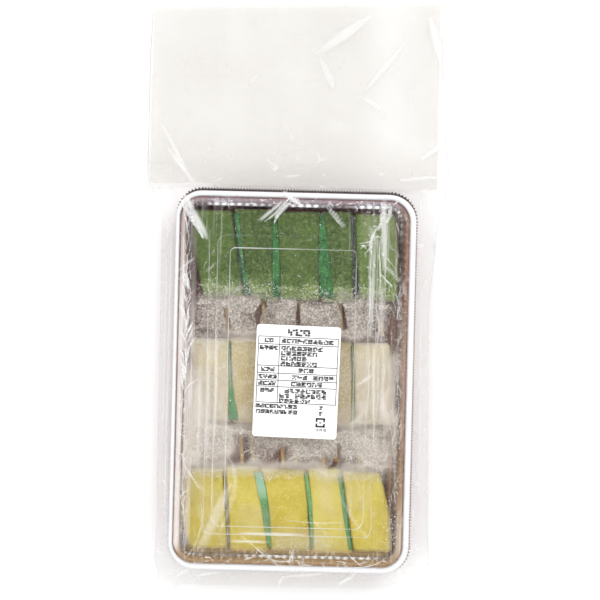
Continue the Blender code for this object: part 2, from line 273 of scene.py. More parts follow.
@dataclass(frozen=True)
class RoundedRing:
    """Evenly stepped rounded rectangles whose points match from one to the next.

    Attributes:
        steps_x: steps along each side that runs along X.
        steps_y: steps along each side that runs along Y.
        steps_corner: steps round each corner.
    """

    steps_x: int
    steps_y: int
    steps_corner: int

    @property
    def count(self) -> int:
        """Points in one ring."""
        return 2 * (self.steps_x + self.steps_y) + 4 * self.steps_corner

    def points(self, half_x: float, half_y: float, radius: float) -> tuple[Points, Points]:
        """Points and outward normals of one rounded rectangle.

        Args:
            half_x: half its width.
            half_y: half its length.
            radius: corner radius.

        Returns:
            Two arrays of X, Y rows.
        """
        places, normals = [], []
        for quarter in range(4):
            turn = quarter * math.pi / 2
            side_is_y = quarter % 2 == 0
            reach = half_x if side_is_y else half_y
            run = (half_y if side_is_y else half_x) - radius
            steps = self.steps_y if side_is_y else self.steps_x
            local = [(reach, -run + 2 * run * i / steps, 0.0) for i in range(steps)]
            for i in range(self.steps_corner):
                angle = math.pi / 2 * i / self.steps_corner
                local.append(
                    (reach - radius + radius * math.cos(angle), run + radius * math.sin(angle), angle))
            for u, v, angle in local:
                places.append(
                    (u * math.cos(turn) - v * math.sin(turn), u * math.sin(turn) + v * math.cos(turn)))
                normals.append((math.cos(turn + angle), math.sin(turn + angle)))
        return np.array(places), np.array(normals)


# --------------------------------------------------------------------------- finishes


class Side(Enum):
    """The side of the rim that a reach or a highlight belongs to."""

    LEFT = "left"
    RIGHT = "right"
    TAIL = "tail"
    SEAM = "seam"


def side_blend(normals: Points, values: dict[Side, float]) -> Points:
    """Blend one value for each side of the rim round its corners.

    Args:
        normals: outward normals of the points.
        values: value on each side.

    Returns:
        One value for each point.
    """
    x, y = normals[:, 0], normals[:, 1]
    shares = {
        Side.LEFT: np.clip(-x, 0, 1) ** 2, Side.RIGHT: np.clip(x, 0, 1) ** 2,
        Side.TAIL: np.clip(y, 0, 1) ** 2, Side.SEAM: np.clip(-y, 0, 1) ** 2,
    }
    return sum(shares[side] * value for side, value in values.items())


def by_side(left: float, right: float, tail: float, seam: float) -> dict[Side, float]:
    """Name four values by the side that they belong to."""
    return {Side.LEFT: left, Side.RIGHT: right, Side.TAIL: tail, Side.SEAM: seam}


def side_field(*values: float) -> dict[Side, float]:
    """Dataclass field that holds one value for each side, in the order of by_side."""
    return field(default_factory=lambda: by_side(*values))


class Graph:
    """Small helper that adds and links shader nodes."""

    def __init__(self, tree: bpy.types.NodeTree) -> None:
        """Wrap a node tree."""
        self.tree = tree

    def add(self, kind: str, inputs: dict | None = None, **settings: object) -> bpy.types.Node:
        """Add a node.

        Args:
            kind: the node's Blender type.
            inputs: socket name or index to a value or to another node's output.
            settings: node properties.

        Returns:
            The node.
        """
        node = self.tree.nodes.new(kind)
        for key, value in settings.items():
            setattr(node, key, value)
        for key, value in (inputs or {}).items():
            self.feed(node.inputs[key], value)
        return node

    def feed(self, socket: bpy.types.NodeSocket, value: object) -> None:
        """Link an output to a socket, or set the socket's own value."""
        if isinstance(value, bpy.types.NodeSocket):
            self.tree.links.new(value, socket)
        else:
            socket.default_value = value

    def math(self, operation: str, *values: object, clamp: bool = False) -> bpy.types.NodeSocket:
        """Add a Math node and return its output."""
        node = self.add("ShaderNodeMath", dict(enumerate(values)), operation=operation, use_clamp=clamp)
        return node.outputs[0]

    def mix(self, factor: object, first: object, second: object, blend: str = "MIX") -> bpy.types.NodeSocket:
        """Add a colour Mix node and return its output."""
        node = self.add("ShaderNodeMix", data_type="RGBA", blend_type=blend)
        self.feed(node.inputs[0], factor)
        self.feed(node.inputs[6], first)
        self.feed(node.inputs[7], second)
        return node.outputs[2]

    def remap(
        self, value: object, low: float, high: float, to_low: float = 0.0, to_high: float = 1.0
    ) -> bpy.types.NodeSocket:
        """Add a smooth, clamped Map Range node and return its output."""
        node = self.add(
            "ShaderNodeMapRange", {
                0: value, 1: low, 2: high, 3: to_low, 4: to_high}, interpolation_type="SMOOTHSTEP",
        )
        return node.outputs[0]

    def use(self, effect: bpy.types.NodeTree, inputs: dict) -> bpy.types.Node:
        """Add one of the shared effects, with its inputs by name."""
        return self.add("ShaderNodeGroup", inputs, node_tree=effect)

    def noise(self, place: object, scale: float, detail: float, output: str = "Fac",
              **extra: float) -> bpy.types.NodeSocket:
        """Add a Noise Texture node and return the named output."""
        inputs = {"Vector": place, "Scale": scale, "Detail": detail, **extra}
        return self.add("ShaderNodeTexNoise", inputs).outputs[output]

    def attribute(self, name: str) -> bpy.types.NodeSocket:
        """Read a painted number of the mesh."""
        return self.add("ShaderNodeAttribute", attribute_name=name).outputs["Fac"]


def rgba(colour: Colour) -> tuple[float, float, float, float]:
    """Add a full alpha to a colour."""
    return (*colour, 1.0)


SOCKET_KINDS = {1: "NodeSocketFloat", 3: "NodeSocketVector", 4: "NodeSocketColor"}


def new_group(
    name: str, inputs: dict[str, object], outputs: dict[str, str]
) -> tuple[bpy.types.NodeTree, Graph]:
    """Make an empty shader node group with named sockets.

    Args:
        name: the group's name.
        inputs: socket name to default; a float makes a float socket, three a vector, four a colour.
        outputs: socket name to socket type.

    Returns:
        The group and a helper that adds nodes to it.
    """
    tree = bpy.data.node_groups.new(name, "ShaderNodeTree")
    for key, default in inputs.items():
        kind = SOCKET_KINDS[len(default) if isinstance(default, tuple) else 1]
        tree.interface.new_socket(name=key, in_out="INPUT", socket_type=kind).default_value = default
    for key, kind in outputs.items():
        tree.interface.new_socket(name=key, in_out="OUTPUT", socket_type=kind)
    return tree, Graph(tree)


class Effects:
    """Shader node groups that several finishes share, each built once."""

    def __init__(self) -> None:
        """Build every group."""
        self.frost = self._frost()
        self.mottle = self._mottle()
        self.crinkle = self._crinkle()
        self.speckle = self._speckle()
        self.crystals = self._crystals()

    @staticmethod
    def _position(graph: Graph, scale: object) -> bpy.types.NodeSocket:
        """Object position times a scale, so that patterns keep their real size."""
        place = graph.add("ShaderNodeTexCoord").outputs["Object"]
        return graph.add("ShaderNodeVectorMath", {0: place, 3: scale}, operation="SCALE").outputs[0]

    def _frost(self) -> bpy.types.NodeTree:
        """Grainy ice: a mask that grows with the amount, curled dark veins, and uneven grains."""
        tree, graph = new_group(
            "frost_grain", {"Amount": 0.5, "Grain": 900.0, "Softness": 0.25},
            {
                "Mask": "NodeSocketFloat", "Height": "NodeSocketFloat", "Veins": "NodeSocketFloat",
                "Glow": "NodeSocketFloat"},
        )
        ends = graph.add("NodeGroupInput").outputs
        place = self._position(graph, ends["Grain"])
        bend = graph.noise(place, 0.45, 2.0, output="Color")
        pull = graph.add("ShaderNodeVectorMath", {0: bend, 3: 2.2}, operation="SCALE").outputs[0]
        warped = graph.add("ShaderNodeVectorMath", {0: place, 1: pull}, operation="ADD").outputs[0]
        cells = graph.add("ShaderNodeTexVoronoi", {"Vector": warped, "Scale": 0.8}, feature="F1")
        grain = graph.add(
            "ShaderNodeTexNoise", {"Vector": warped, "Scale": 0.8, "Detail": 5.0, "Roughness": 0.7})
        fine = graph.math(
            "SUBTRACT", graph.math("MULTIPLY", grain.outputs["Fac"], 1.5),
            graph.math("MULTIPLY", cells.outputs["Distance"], 0.55))
        level = graph.math("SUBTRACT", 0.95, graph.math("MULTIPLY", ends["Amount"], 0.95))
        mask = graph.add("ShaderNodeMapRange", {
            0: fine, 1: graph.math(
                "SUBTRACT", level, ends["Softness"]), 2: graph.math("ADD", level, ends["Softness"]),
        }, interpolation_type="SMOOTHSTEP").outputs[0]
        curl = graph.noise(warped, 0.42, 2.0)
        ridge = graph.math("ABSOLUTE", graph.math("SUBTRACT", curl, 0.5))
        veins = graph.remap(ridge, 0.045, 0.0)
        spark = graph.noise(warped, 1.1, 3.0, Roughness=0.6)
        graph.add("NodeGroupOutput", {
            "Mask": graph.math("MULTIPLY", mask, ends["Amount"]), "Height": fine, "Veins": veins,
            "Glow": graph.remap(spark, 0.42, 0.68)})
        return tree

    def _crystals(self) -> bpy.types.NodeTree:
        """Feathery crystals: crisp ragged flecks of two sizes whose share follows the amount."""
        tree, graph = new_group(
            "crystals", {"Amount": 0.4, "Stretch": (1.0, 1.0, 1.0), "Scale": 900.0},
            {"Mask": "NodeSocketFloat", "Height": "NodeSocketFloat"})
        ends = graph.add("NodeGroupInput").outputs
        place = graph.add("ShaderNodeVectorMath", {
            0: self._position(graph, ends["Scale"]), 1: ends["Stretch"]}, operation="MULTIPLY").outputs[0]
        small = graph.noise(place, 1.0, 3.0, Roughness=0.75, Distortion=0.35)
        large = graph.noise(place, 0.3, 2.0, Roughness=0.6, Distortion=0.5)
        grain = graph.math("MULTIPLY_ADD", large, 0.3, graph.math("MULTIPLY", small, 0.7))
        level = graph.math("SUBTRACT", 0.62, graph.math("MULTIPLY", ends["Amount"], 0.24))
        mask = graph.add("ShaderNodeMapRange", {
            0: grain, 1: graph.math("SUBTRACT", level, 0.035), 2: graph.math("ADD", level, 0.05)}).outputs[0]
        graph.add("NodeGroupOutput", {"Mask": mask, "Height": grain})
        return tree

    def _speckle(self) -> bpy.types.NodeTree:
        """Scattered tiny flecks, denser where the amount is high."""
        tree, graph = new_group(
            "speckle", {"Amount": 0.3, "Scale": 1100.0, "Size": 0.32}, {"Mask": "NodeSocketFloat"})
        ends = graph.add("NodeGroupInput").outputs
        place = self._position(graph, ends["Scale"])
        bend = graph.noise(place, 0.7, 1.0, output="Color")
        warped = graph.add("ShaderNodeVectorMath", {0: place, 1: bend}, operation="ADD").outputs[0]
        cells = graph.add("ShaderNodeTexVoronoi", {"Vector": warped, "Scale": 1.0}, feature="F1")
        chance = graph.add("ShaderNodeSeparateColor", {0: cells.outputs["Color"]}).outputs
        dot = graph.add("ShaderNodeMapRange", {
            0: cells.outputs["Distance"], 1: ends["Size"],
            2: graph.math("MULTIPLY", ends["Size"], 0.4)}).outputs[0]
        present = graph.math("LESS_THAN", chance[0], ends["Amount"])
        strength = graph.math("MULTIPLY_ADD", chance[1], 0.7, 0.3)
        graph.add(
            "NodeGroupOutput",
            {"Mask": graph.math("MULTIPLY", graph.math("MULTIPLY", dot, present), strength)})
        return tree

    def _mottle(self) -> bpy.types.NodeTree:
        """Uneven colour between two tones, coarse and fine together."""
        tree, graph = new_group(
            "mottle", {
                "Tone": (0.5, 0.5, 0.5, 1.0), "Other Tone": (0.4, 0.4, 0.4, 1.0), "Coarse": 60.0,
                "Fine": 700.0},
            {"Colour": "NodeSocketColor", "Height": "NodeSocketFloat"},
        )
        ends = graph.add("NodeGroupInput").outputs
        coarse = graph.noise(self._position(graph, ends["Coarse"]), 1.0, 3.0)
        fine = graph.noise(self._position(graph, ends["Fine"]), 1.0, 4.0, Roughness=0.65)
        blend = graph.math("ADD", graph.math("MULTIPLY", coarse, 0.6), graph.math("MULTIPLY", fine, 0.4))
        share = graph.remap(blend, 0.41, 0.59)
        graph.add(
            "NodeGroupOutput", {"Colour": graph.mix(share, ends["Tone"], ends["Other Tone"]), "Height": fine})
        return tree

    def _crinkle(self) -> bpy.types.NodeTree:
        """Sharp little folds of thin film, as a height, a line mask and a streak mask, the masks carrying
        painted highlights and reflections.
        """
        tree, graph = new_group(
            "film_crinkle", {"Scale": 60.0, "Line Width": 0.05},
            {"Height": "NodeSocketFloat", "Lines": "NodeSocketFloat", "Streaks": "NodeSocketFloat"},
        )
        ends = graph.add("NodeGroupInput").outputs
        place = self._position(graph, ends["Scale"])
        bend = graph.noise(place, 0.6, 2.0, output="Color")
        warped = graph.add("ShaderNodeVectorMath", {0: place, 1: bend}, operation="ADD").outputs[0]
        edges = graph.add(
            "ShaderNodeTexVoronoi", {"Vector": warped, "Scale": 0.7}, feature="DISTANCE_TO_EDGE"
        ).outputs["Distance"]
        broken = graph.noise(place, 1.7, 3.0)
        line = graph.add(
            "ShaderNodeMapRange", {0: edges, 1: ends["Line Width"], 2: 0.0}, interpolation_type="SMOOTHSTEP"
        ).outputs[0]
        lines = graph.math("MULTIPLY", line, graph.remap(broken, 0.50, 0.66))
        soft = graph.noise(place, 0.9, 3.0)
        height = graph.math("ADD", graph.math("MULTIPLY", graph.math("MINIMUM", edges, 0.35), 0.8), soft)
        object_place = graph.add("ShaderNodeTexCoord").outputs["Object"]
        drawn = graph.add(
            "ShaderNodeMapping", {"Vector": object_place, "Scale": (700.0, 22.0, 22.0)}).outputs[0]
        run = graph.noise(drawn, 1.0, 3.0, Roughness=0.6)
        graph.add(
            "NodeGroupOutput", {"Height": height, "Lines": lines, "Streaks": graph.remap(run, 0.53, 0.72)})
        return tree


@dataclass(frozen=True)
class Finish:
    """Base of a finish: a name and a Principled material that its dress method fills in."""

    name: str

    def material(self, effects: Effects) -> bpy.types.Material:
        """Make the material.

        Args:
            effects: the shared node groups.

        Returns:
            The finished material.
        """
        made = bpy.data.materials.new(self.name)
        made.use_nodes = True
        shader = made.node_tree.nodes["Principled BSDF"]
        self.fill(Graph(made.node_tree), shader, effects)
        return made

    def fill(self, graph: Graph, shader: bpy.types.Node, effects: Effects) -> None:
        """Set and link the shader's sockets."""
        raise NotImplementedError

    @staticmethod
    def bump(
        graph: Graph, shader: bpy.types.Node, height: bpy.types.NodeSocket, strength: float, depth: float
    ) -> None:
        """Feed the normal from a height."""
        made = graph.add("ShaderNodeBump", {"Height": height, "Strength": strength, "Distance": depth * MM})
        graph.feed(shader.inputs["Normal"], made.outputs["Normal"])


@dataclass(frozen=True)
class ClearFilm(Finish):
    """Thin clear plastic: nearly see-through, whiter where seen edge on, with painted white highlights along
    its creases, crinkle lines and streaks.

    Attributes:
        tint: colour of its haze.
        white: colour of the painted highlights on its creases, crinkle lines and streaks.
        edge: extra opacity where it is seen edge on.
        line: opacity of the painted highlights on the fine crinkle lines where the film is slack.
        crinkle_scale: crinkles to a metre.
        crinkle_depth: depth of the crinkles in millimetres.
        rough: roughness.
    """

    tint: Colour = (0.870, 0.850, 0.820)
    white: Colour = (0.95, 0.95, 0.945)
    edge: float = 0.65
    line: float = 0.5
    crinkle_scale: float = 60.0
    crinkle_depth: float = 0.5
    rough: float = 0.14

    def fill(self, graph: Graph, shader: bpy.types.Node, effects: Effects) -> None:
        """Set and link the shader's sockets."""
        crinkle = graph.use(effects.crinkle, {"Scale": self.crinkle_scale})
        slack = graph.attribute("slack")
        bump = graph.add("ShaderNodeBump", {
            "Height": crinkle.outputs["Height"], "Strength": 0.8, "Distance": self.crinkle_depth * MM})
        normal = bump.outputs["Normal"]
        graph.feed(shader.inputs["Normal"], normal)
        facing = graph.add("ShaderNodeLayerWeight", {"Blend": 0.35, "Normal": normal}).outputs["Facing"]
        rim = graph.math("MULTIPLY", graph.math("POWER", facing, 1.7), self.edge)
        loose_rim = graph.math("MULTIPLY", rim, graph.math("MULTIPLY_ADD", slack, 0.90, 0.10))
        # painted highlights: crinkle lines, streaks and crease whitening raise the opacity and whiten the
        # colour
        lines = graph.math("MULTIPLY", crinkle.outputs["Lines"], graph.math("MULTIPLY", slack, self.line))
        streaks = graph.math("MULTIPLY", crinkle.outputs["Streaks"], graph.attribute("glint_streak"))
        marks = graph.math("MAXIMUM", graph.math("MAXIMUM", graph.attribute("crease"), lines), streaks)
        total = graph.math("ADD", graph.math("ADD", loose_rim, marks), graph.attribute("haze"))
        graph.feed(shader.inputs["Alpha"], graph.math("MINIMUM", total, 0.96))
        graph.feed(
            shader.inputs["Base Color"],
            graph.mix(graph.remap(marks, 0.0, 0.35), rgba(self.tint), rgba(self.white)))
        shader.inputs["Roughness"].default_value = self.rough
        shader.inputs["IOR"].default_value = 1.5


@dataclass(frozen=True)
class FoldFilm(Finish):
    """Film along a fold, whitened as a painted highlight, streaked across."""

    tint: Colour = (0.95, 0.95, 0.945)

    def fill(self, graph: Graph, shader: bpy.types.Node, effects: Effects) -> None:
        """Set and link the shader's sockets."""
        crystals = graph.use(effects.crystals, {"Amount": 0.75, "Scale": 900.0})
        share = graph.math("MULTIPLY_ADD", crystals.outputs["Mask"], 0.35, 0.65)
        graph.feed(shader.inputs["Alpha"], graph.math("MULTIPLY", graph.attribute("white"), share))
        graph.feed(shader.inputs["Base Color"], graph.mix(
            crystals.outputs["Mask"], rgba(tuple(c * 0.9 for c in self.tint)), rgba(self.tint)))
        shader.inputs["Roughness"].default_value = 0.25
        self.bump(graph, shader, crystals.outputs["Height"], 0.3, 0.1)


@dataclass(frozen=True)
class ClearSheet(Finish):
    """Formed clear plastic, with painted highlights on its steep walls, a ledge tinted with painted
    reflections and painted glare, glints and small curls of light.

    Attributes:
        tint: colour of its haze and glints.
        cool: colour of the ledge's painted reflection where it is painted cool.
        food_reflection: colour of the ledge's painted reflection of the food.
        glare_tint: colour of the ledge's painted glare where it is painted milky.
        haze: opacity of the flat sheet.
        edge: extra opacity of steep walls, for their painted highlight.
        curl: opacity of the curls.
    """

    tint: Colour = (0.95, 0.955, 0.96)
    cool: Colour = (0.640, 0.630, 0.720)
    food_reflection: Colour = (0.550, 0.390, 0.180)
    glare_tint: Colour = (0.800, 0.735, 0.700)
    haze: float = 0.006
    edge: float = 1.0
    curl: float = 0.8

    def fill(self, graph: Graph, shader: bpy.types.Node, effects: Effects) -> None:
        """Set and link the shader's sockets."""
        curls = graph.use(effects.crinkle, {"Scale": 260.0, "Line Width": 0.16})
        facing = graph.add("ShaderNodeLayerWeight", {"Blend": 0.4}).outputs["Facing"]
        slope = graph.math("MULTIPLY", graph.math("POWER", facing, 2.0), self.edge)
        # painted highlight on the steep walls, as strong as the lid paints it
        wall = graph.math("MULTIPLY", slope, graph.attribute("wall"))
        curl = graph.math(
            "MULTIPLY", curls.outputs["Lines"], graph.math("MULTIPLY", graph.attribute("curl"), self.curl))
        bright = graph.math("ADD", graph.math("MAXIMUM", graph.attribute("glint"), curl), wall)
        # painted reflections and glare on the ledge, streaked
        ledge = graph.math("MULTIPLY", graph.attribute("ledge"), graph.math(
            "MULTIPLY_ADD", curls.outputs["Streaks"], 0.7, 0.7))
        total = graph.math("ADD", graph.math("MAXIMUM", bright, ledge), self.haze)
        graph.feed(shader.inputs["Alpha"], graph.math("MINIMUM", total, 0.97))
        # ledge tints of the painted reflections: cool, of the food, and milky glare
        base = graph.mix(graph.attribute("food_reflection"), rgba(self.cool), rgba(self.food_reflection))
        base = graph.mix(graph.attribute("milky"), base, rgba(self.glare_tint))
        base = graph.mix(graph.math("GREATER_THAN", ledge, 0.02), rgba(self.tint), base)
        graph.feed(
            shader.inputs["Base Color"], graph.mix(graph.math("MINIMUM", bright, 1.0), base, rgba(self.tint)))
        shader.inputs["Roughness"].default_value = 0.1
        shader.inputs["IOR"].default_value = 1.55
        self.bump(graph, shader, curls.outputs["Height"], 0.2, 0.08)


@dataclass(frozen=True)
class RimHighlight(Finish):
    """Bead of the lid's rim, painted near white as a highlight, with thin cool lines along it where the
    painted highlight breaks.
    """

    tint: Colour = (0.885, 0.885, 0.905)
    shade: Colour = (0.190, 0.205, 0.235)

    def fill(self, graph: Graph, shader: bpy.types.Node, effects: Effects) -> None:
        """Set and link the shader's sockets."""
        mottle = graph.use(effects.mottle, {
            "Tone": rgba(self.tint), "Other Tone": rgba(tuple(c * 0.93 for c in self.tint)), "Coarse": 90.0,
        })
        # painted highlight: near-white bead colour, broken by thin cool lines, with the painted glint as its
        # opacity
        graph.feed(shader.inputs["Base Color"], graph.mix(
            graph.attribute("line"), mottle.outputs["Colour"], rgba(self.shade)))
        graph.feed(shader.inputs["Alpha"], graph.attribute("glint"))
        shader.inputs["Roughness"].default_value = 0.12
        self.bump(graph, shader, mottle.outputs["Height"], 0.1, 0.03)


@dataclass(frozen=True)
class TrayPlastic(Finish):
    """Dark maroon formed plastic, satin, with fine frost, sparkles, a painted reflection of the food's warm
    light on its walls and painted shade on its flange's edge.

    Attributes:
        tone: main colour.
        patchy: lighter colour of its uneven patches.
        food_reflection: colour of the painted reflection of the food's warm light.
        edge_shade: colour of the painted shade on the flange's edge.
        ice: colour of the frost.
    """

    tone: Colour = (0.150, 0.022, 0.020)
    patchy: Colour = (0.270, 0.072, 0.060)
    food_reflection: Colour = (0.330, 0.205, 0.085)
    edge_shade: Colour = (0.012, 0.008, 0.008)
    ice: Colour = (0.70, 0.64, 0.61)

    def fill(self, graph: Graph, shader: bpy.types.Node, effects: Effects) -> None:
        """Set and link the shader's sockets."""
        icy = graph.attribute("icy")
        mottle = graph.use(effects.mottle, {
            "Tone": rgba(self.tone), "Other Tone": rgba(self.patchy), "Coarse": 90.0, "Fine": 700.0})
        # painted reflection of the food's warm light on the walls
        colour = graph.mix(graph.attribute("food_reflection"), mottle.outputs["Colour"], rgba(self.food_reflection))
        # painted shade on the flange's edge
        colour = graph.mix(graph.attribute("edge_shade"), colour, rgba(self.edge_shade))
        frost = graph.use(effects.frost, {"Amount": icy, "Grain": 1000.0, "Softness": 0.2})
        flecks = graph.use(effects.speckle, {"Amount": icy, "Scale": 1000.0, "Size": 0.4})
        ice = graph.math("MAXIMUM", frost.outputs["Mask"], flecks.outputs["Mask"])
        graph.feed(shader.inputs["Base Color"], graph.mix(ice, colour, rgba(self.ice)))
        shader.inputs["Roughness"].default_value = 0.3
        self.bump(graph, shader, frost.outputs["Height"], 0.25, 0.12)


@dataclass(frozen=True)
class Gluten(Finish):
    """Frozen gluten dough: uneven colour under feathery crystals, with ice where it is painted.

    Attributes:
        tone: main colour.
        other: second tone of its slow unevenness.
        pale: where it is painted pale.
        deep_tone_and_shade: where it is painted deeper, by its uneven tone and by painted shade along its
            sides.
        crystal: colour of the crystals.
        crystals: their share of the face.
        stretch: how the crystals' scale is stretched along X, Y and Z.
        scale: their scale.
        ice_colour: colour of the ice on it.
        flecks: share of tiny bright flecks.
        pores: strength of the fine relief.
        gloss: specular level.
    """

    tone: Colour = (0.5, 0.5, 0.5)
    other: Colour = (0.4, 0.4, 0.4)
    pale: Colour = (0.6, 0.6, 0.6)
    deep_tone_and_shade: Colour = (0.3, 0.3, 0.3)
    crystal: Colour = (0.7, 0.7, 0.7)
    crystals: float = 0.4
    stretch: tuple[float, float, float] = (1.0, 1.0, 1.0)
    scale: float = 900.0
    ice_colour: Colour = (0.84, 0.84, 0.80)
    flecks: float = 0.1
    pores: float = 0.35
    gloss: float = 0.2

    def fill(self, graph: Graph, shader: bpy.types.Node, effects: Effects) -> None:
        """Set and link the shader's sockets."""
        mottle = graph.use(effects.mottle, {
            "Tone": rgba(self.tone), "Other Tone": rgba(self.other), "Coarse": 110.0, "Fine": 600.0,
        })
        ice = graph.attribute("ice")
        crystals = graph.use(effects.crystals, {
            "Amount": graph.math(
                "MULTIPLY_ADD", ice, 0.5, self.crystals), "Stretch": self.stretch, "Scale": self.scale,
        })
        colour = graph.mix(graph.attribute("pale"), mottle.outputs["Colour"], rgba(self.pale))
        # deeper tone, and painted shade along the block's sides
        colour = graph.mix(graph.attribute("deep_tone_and_shade"), colour, rgba(self.deep_tone_and_shade))
        bright = graph.mix(ice, rgba(self.crystal), rgba(self.ice_colour))
        colour = graph.mix(crystals.outputs["Mask"], colour, bright)
        flecks = graph.use(effects.speckle, {
            "Amount": graph.math("MULTIPLY_ADD", ice, 0.5, self.flecks), "Scale": 1100.0})
        film = graph.math("MAXIMUM", flecks.outputs["Mask"], graph.math("MULTIPLY", ice, 0.25))
        graph.feed(shader.inputs["Base Color"], graph.mix(film, colour, rgba(self.ice_colour)))
        shader.inputs["Roughness"].default_value = 0.5
        shader.inputs["Specular IOR Level"].default_value = self.gloss
        shader.inputs["Subsurface Weight"].default_value = 0.08
        shader.inputs["Subsurface Radius"].default_value = (1.0, 0.8, 0.5)
        shader.inputs["Subsurface Scale"].default_value = 0.001
        self.bump(graph, shader, crystals.outputs["Height"], self.pores, 0.5)


@dataclass(frozen=True)
class Bamboo(Finish):
    """Split bamboo with fine lengthwise grain."""

    tone: Colour = (0.66, 0.42, 0.14)
    dark: Colour = (0.44, 0.25, 0.07)

    def fill(self, graph: Graph, shader: bpy.types.Node, effects: Effects) -> None:
        """Set and link the shader's sockets."""
        place = graph.add("ShaderNodeTexCoord").outputs["Object"]
        drawn = graph.add("ShaderNodeMapping", {"Vector": place, "Scale": (2600.0, 90.0, 2600.0)}).outputs[0]
        grain = graph.noise(drawn, 1.0, 4.0)
        colour = graph.mix(graph.remap(grain, 0.35, 0.7), rgba(self.tone), rgba(self.dark))
        frost = graph.use(effects.frost, {"Amount": 0.25, "Grain": 1200.0, "Softness": 0.2})
        graph.feed(
            shader.inputs["Base Color"], graph.mix(frost.outputs["Mask"], colour, rgba((0.82, 0.78, 0.70))))
        shader.inputs["Roughness"].default_value = 0.55
        self.bump(graph, shader, grain, 0.3, 0.1)


@dataclass(frozen=True)
class DividerFilm(Finish):
    """Thin green film, a little see-through, with painted shadow where it dips into a gap, and dusted with
    ice.
    """

    tone: Colour = (0.022, 0.215, 0.055)
    pale: Colour = (0.060, 0.360, 0.120)
    # colour of the painted shadow in the gaps
    dark: Colour = (0.030, 0.036, 0.030)
    mint: Colour = (0.420, 0.640, 0.470)
    brown: Colour = (0.270, 0.200, 0.095)
    ice: float = 0.32

    def fill(self, graph: Graph, shader: bpy.types.Node, effects: Effects) -> None:
        """Set and link the shader's sockets."""
        mottle = graph.use(effects.mottle, {
            "Tone": rgba(self.tone), "Other Tone": rgba(self.pale), "Coarse": 130.0, "Fine": 700.0})
        colour = graph.mix(graph.attribute("milky"), mottle.outputs["Colour"], rgba(self.mint))
        colour = graph.mix(graph.attribute("dull"), colour, rgba(self.brown))
        # painted shadow where the strip dips into a gap
        colour = graph.mix(graph.attribute("shade"), colour, rgba(self.dark))
        flecks = graph.use(effects.speckle, {"Amount": self.ice, "Scale": 1100.0})
        graph.feed(
            shader.inputs["Base Color"], graph.mix(flecks.outputs["Mask"], colour, rgba((0.60, 0.72, 0.62))))
        shader.inputs["Alpha"].default_value = 0.9
        shader.inputs["Roughness"].default_value = 0.22
        self.bump(graph, shader, mottle.outputs["Height"], 0.3, 0.15)


@dataclass(frozen=True)
class FrostVeil(Finish):
    """Ice under the lid: clear where its painted amounts are low, grainy or smooth where they are high.

    Attributes:
        grey: colour between the grains.
        pale: colour of the brightest grains.
        vein: colour of the curled veins.
        smooth: colour of the smooth haze.
    """

    grey: Colour = (0.300, 0.262, 0.226)
    pale: Colour = (0.670, 0.605, 0.540)
    vein: Colour = (0.105, 0.080, 0.062)
    smooth: Colour = (0.720, 0.655, 0.575)

    def fill(self, graph: Graph, shader: bpy.types.Node, effects: Effects) -> None:
        """Set and link the shader's sockets."""
        amount, haze = graph.attribute("frost"), graph.attribute("haze")
        frost = graph.use(effects.frost, {"Amount": amount, "Grain": 900.0, "Softness": 0.4})
        ice = graph.mix(frost.outputs["Glow"], rgba(self.grey), rgba(self.pale))
        ice = graph.mix(graph.math("MULTIPLY", frost.outputs["Veins"], 0.75), ice, rgba(self.vein))
        total = graph.math("ADD", graph.math("MULTIPLY", frost.outputs["Mask"], 1.1), haze)
        share = graph.math("DIVIDE", haze, graph.math("ADD", total, 0.001))
        graph.feed(shader.inputs["Base Color"], graph.mix(share, ice, rgba(self.smooth)))
        graph.feed(shader.inputs["Alpha"], graph.math("MINIMUM", total, 0.95))
        shader.inputs["Roughness"].default_value = 0.5
        self.bump(graph, shader, frost.outputs["Height"], 0.6, 0.3)


@dataclass(frozen=True)
class IceCrystal(Finish):
    """Loose grains of ice."""

    tint: Colour = (0.86, 0.85, 0.83)

    def fill(self, graph: Graph, shader: bpy.types.Node, effects: Effects) -> None:
        """Set and link the shader's sockets."""
        mottle = graph.use(effects.mottle, {
            "Tone": rgba(self.tint), "Other Tone": rgba(
                tuple(c * 0.86 for c in self.tint)), "Coarse": 500.0, "Fine": 1500.0,
        })
        graph.feed(shader.inputs["Base Color"], mottle.outputs["Colour"])
        shader.inputs["Alpha"].default_value = 0.8
        shader.inputs["Roughness"].default_value = 0.25
        self.bump(graph, shader, mottle.outputs["Height"], 0.2, 0.05)


@dataclass(frozen=True)
class LabelPaper(Finish):
    """Coated white paper with the faintest tooth."""

    tint: Colour = (0.98, 0.98, 0.985)

    def fill(self, graph: Graph, shader: bpy.types.Node, effects: Effects) -> None:
        """Set and link the shader's sockets."""
        mottle = graph.use(effects.mottle, {
            "Tone": rgba(self.tint), "Other Tone": rgba(
                tuple(c * 0.975 for c in self.tint)), "Coarse": 40.0, "Fine": 900.0,
        })
        graph.feed(shader.inputs["Base Color"], mottle.outputs["Colour"])
        shader.inputs["Roughness"].default_value = 0.5
        self.bump(graph, shader, mottle.outputs["Height"], 0.12, 0.05)


@dataclass(frozen=True)
class PrintInk(Finish):
    """Dark thermal print, a little patchy."""

    tint: Colour = (0.012, 0.011, 0.013)

    def fill(self, graph: Graph, shader: bpy.types.Node, effects: Effects) -> None:
        """Set and link the shader's sockets."""
        mottle = graph.use(effects.mottle, {
            "Tone": rgba(self.tint), "Other Tone": rgba(
                (0.045, 0.042, 0.048)), "Coarse": 400.0, "Fine": 2500.0,
        })
        graph.feed(shader.inputs["Base Color"], mottle.outputs["Colour"])
        shader.inputs["Roughness"].default_value = 0.55


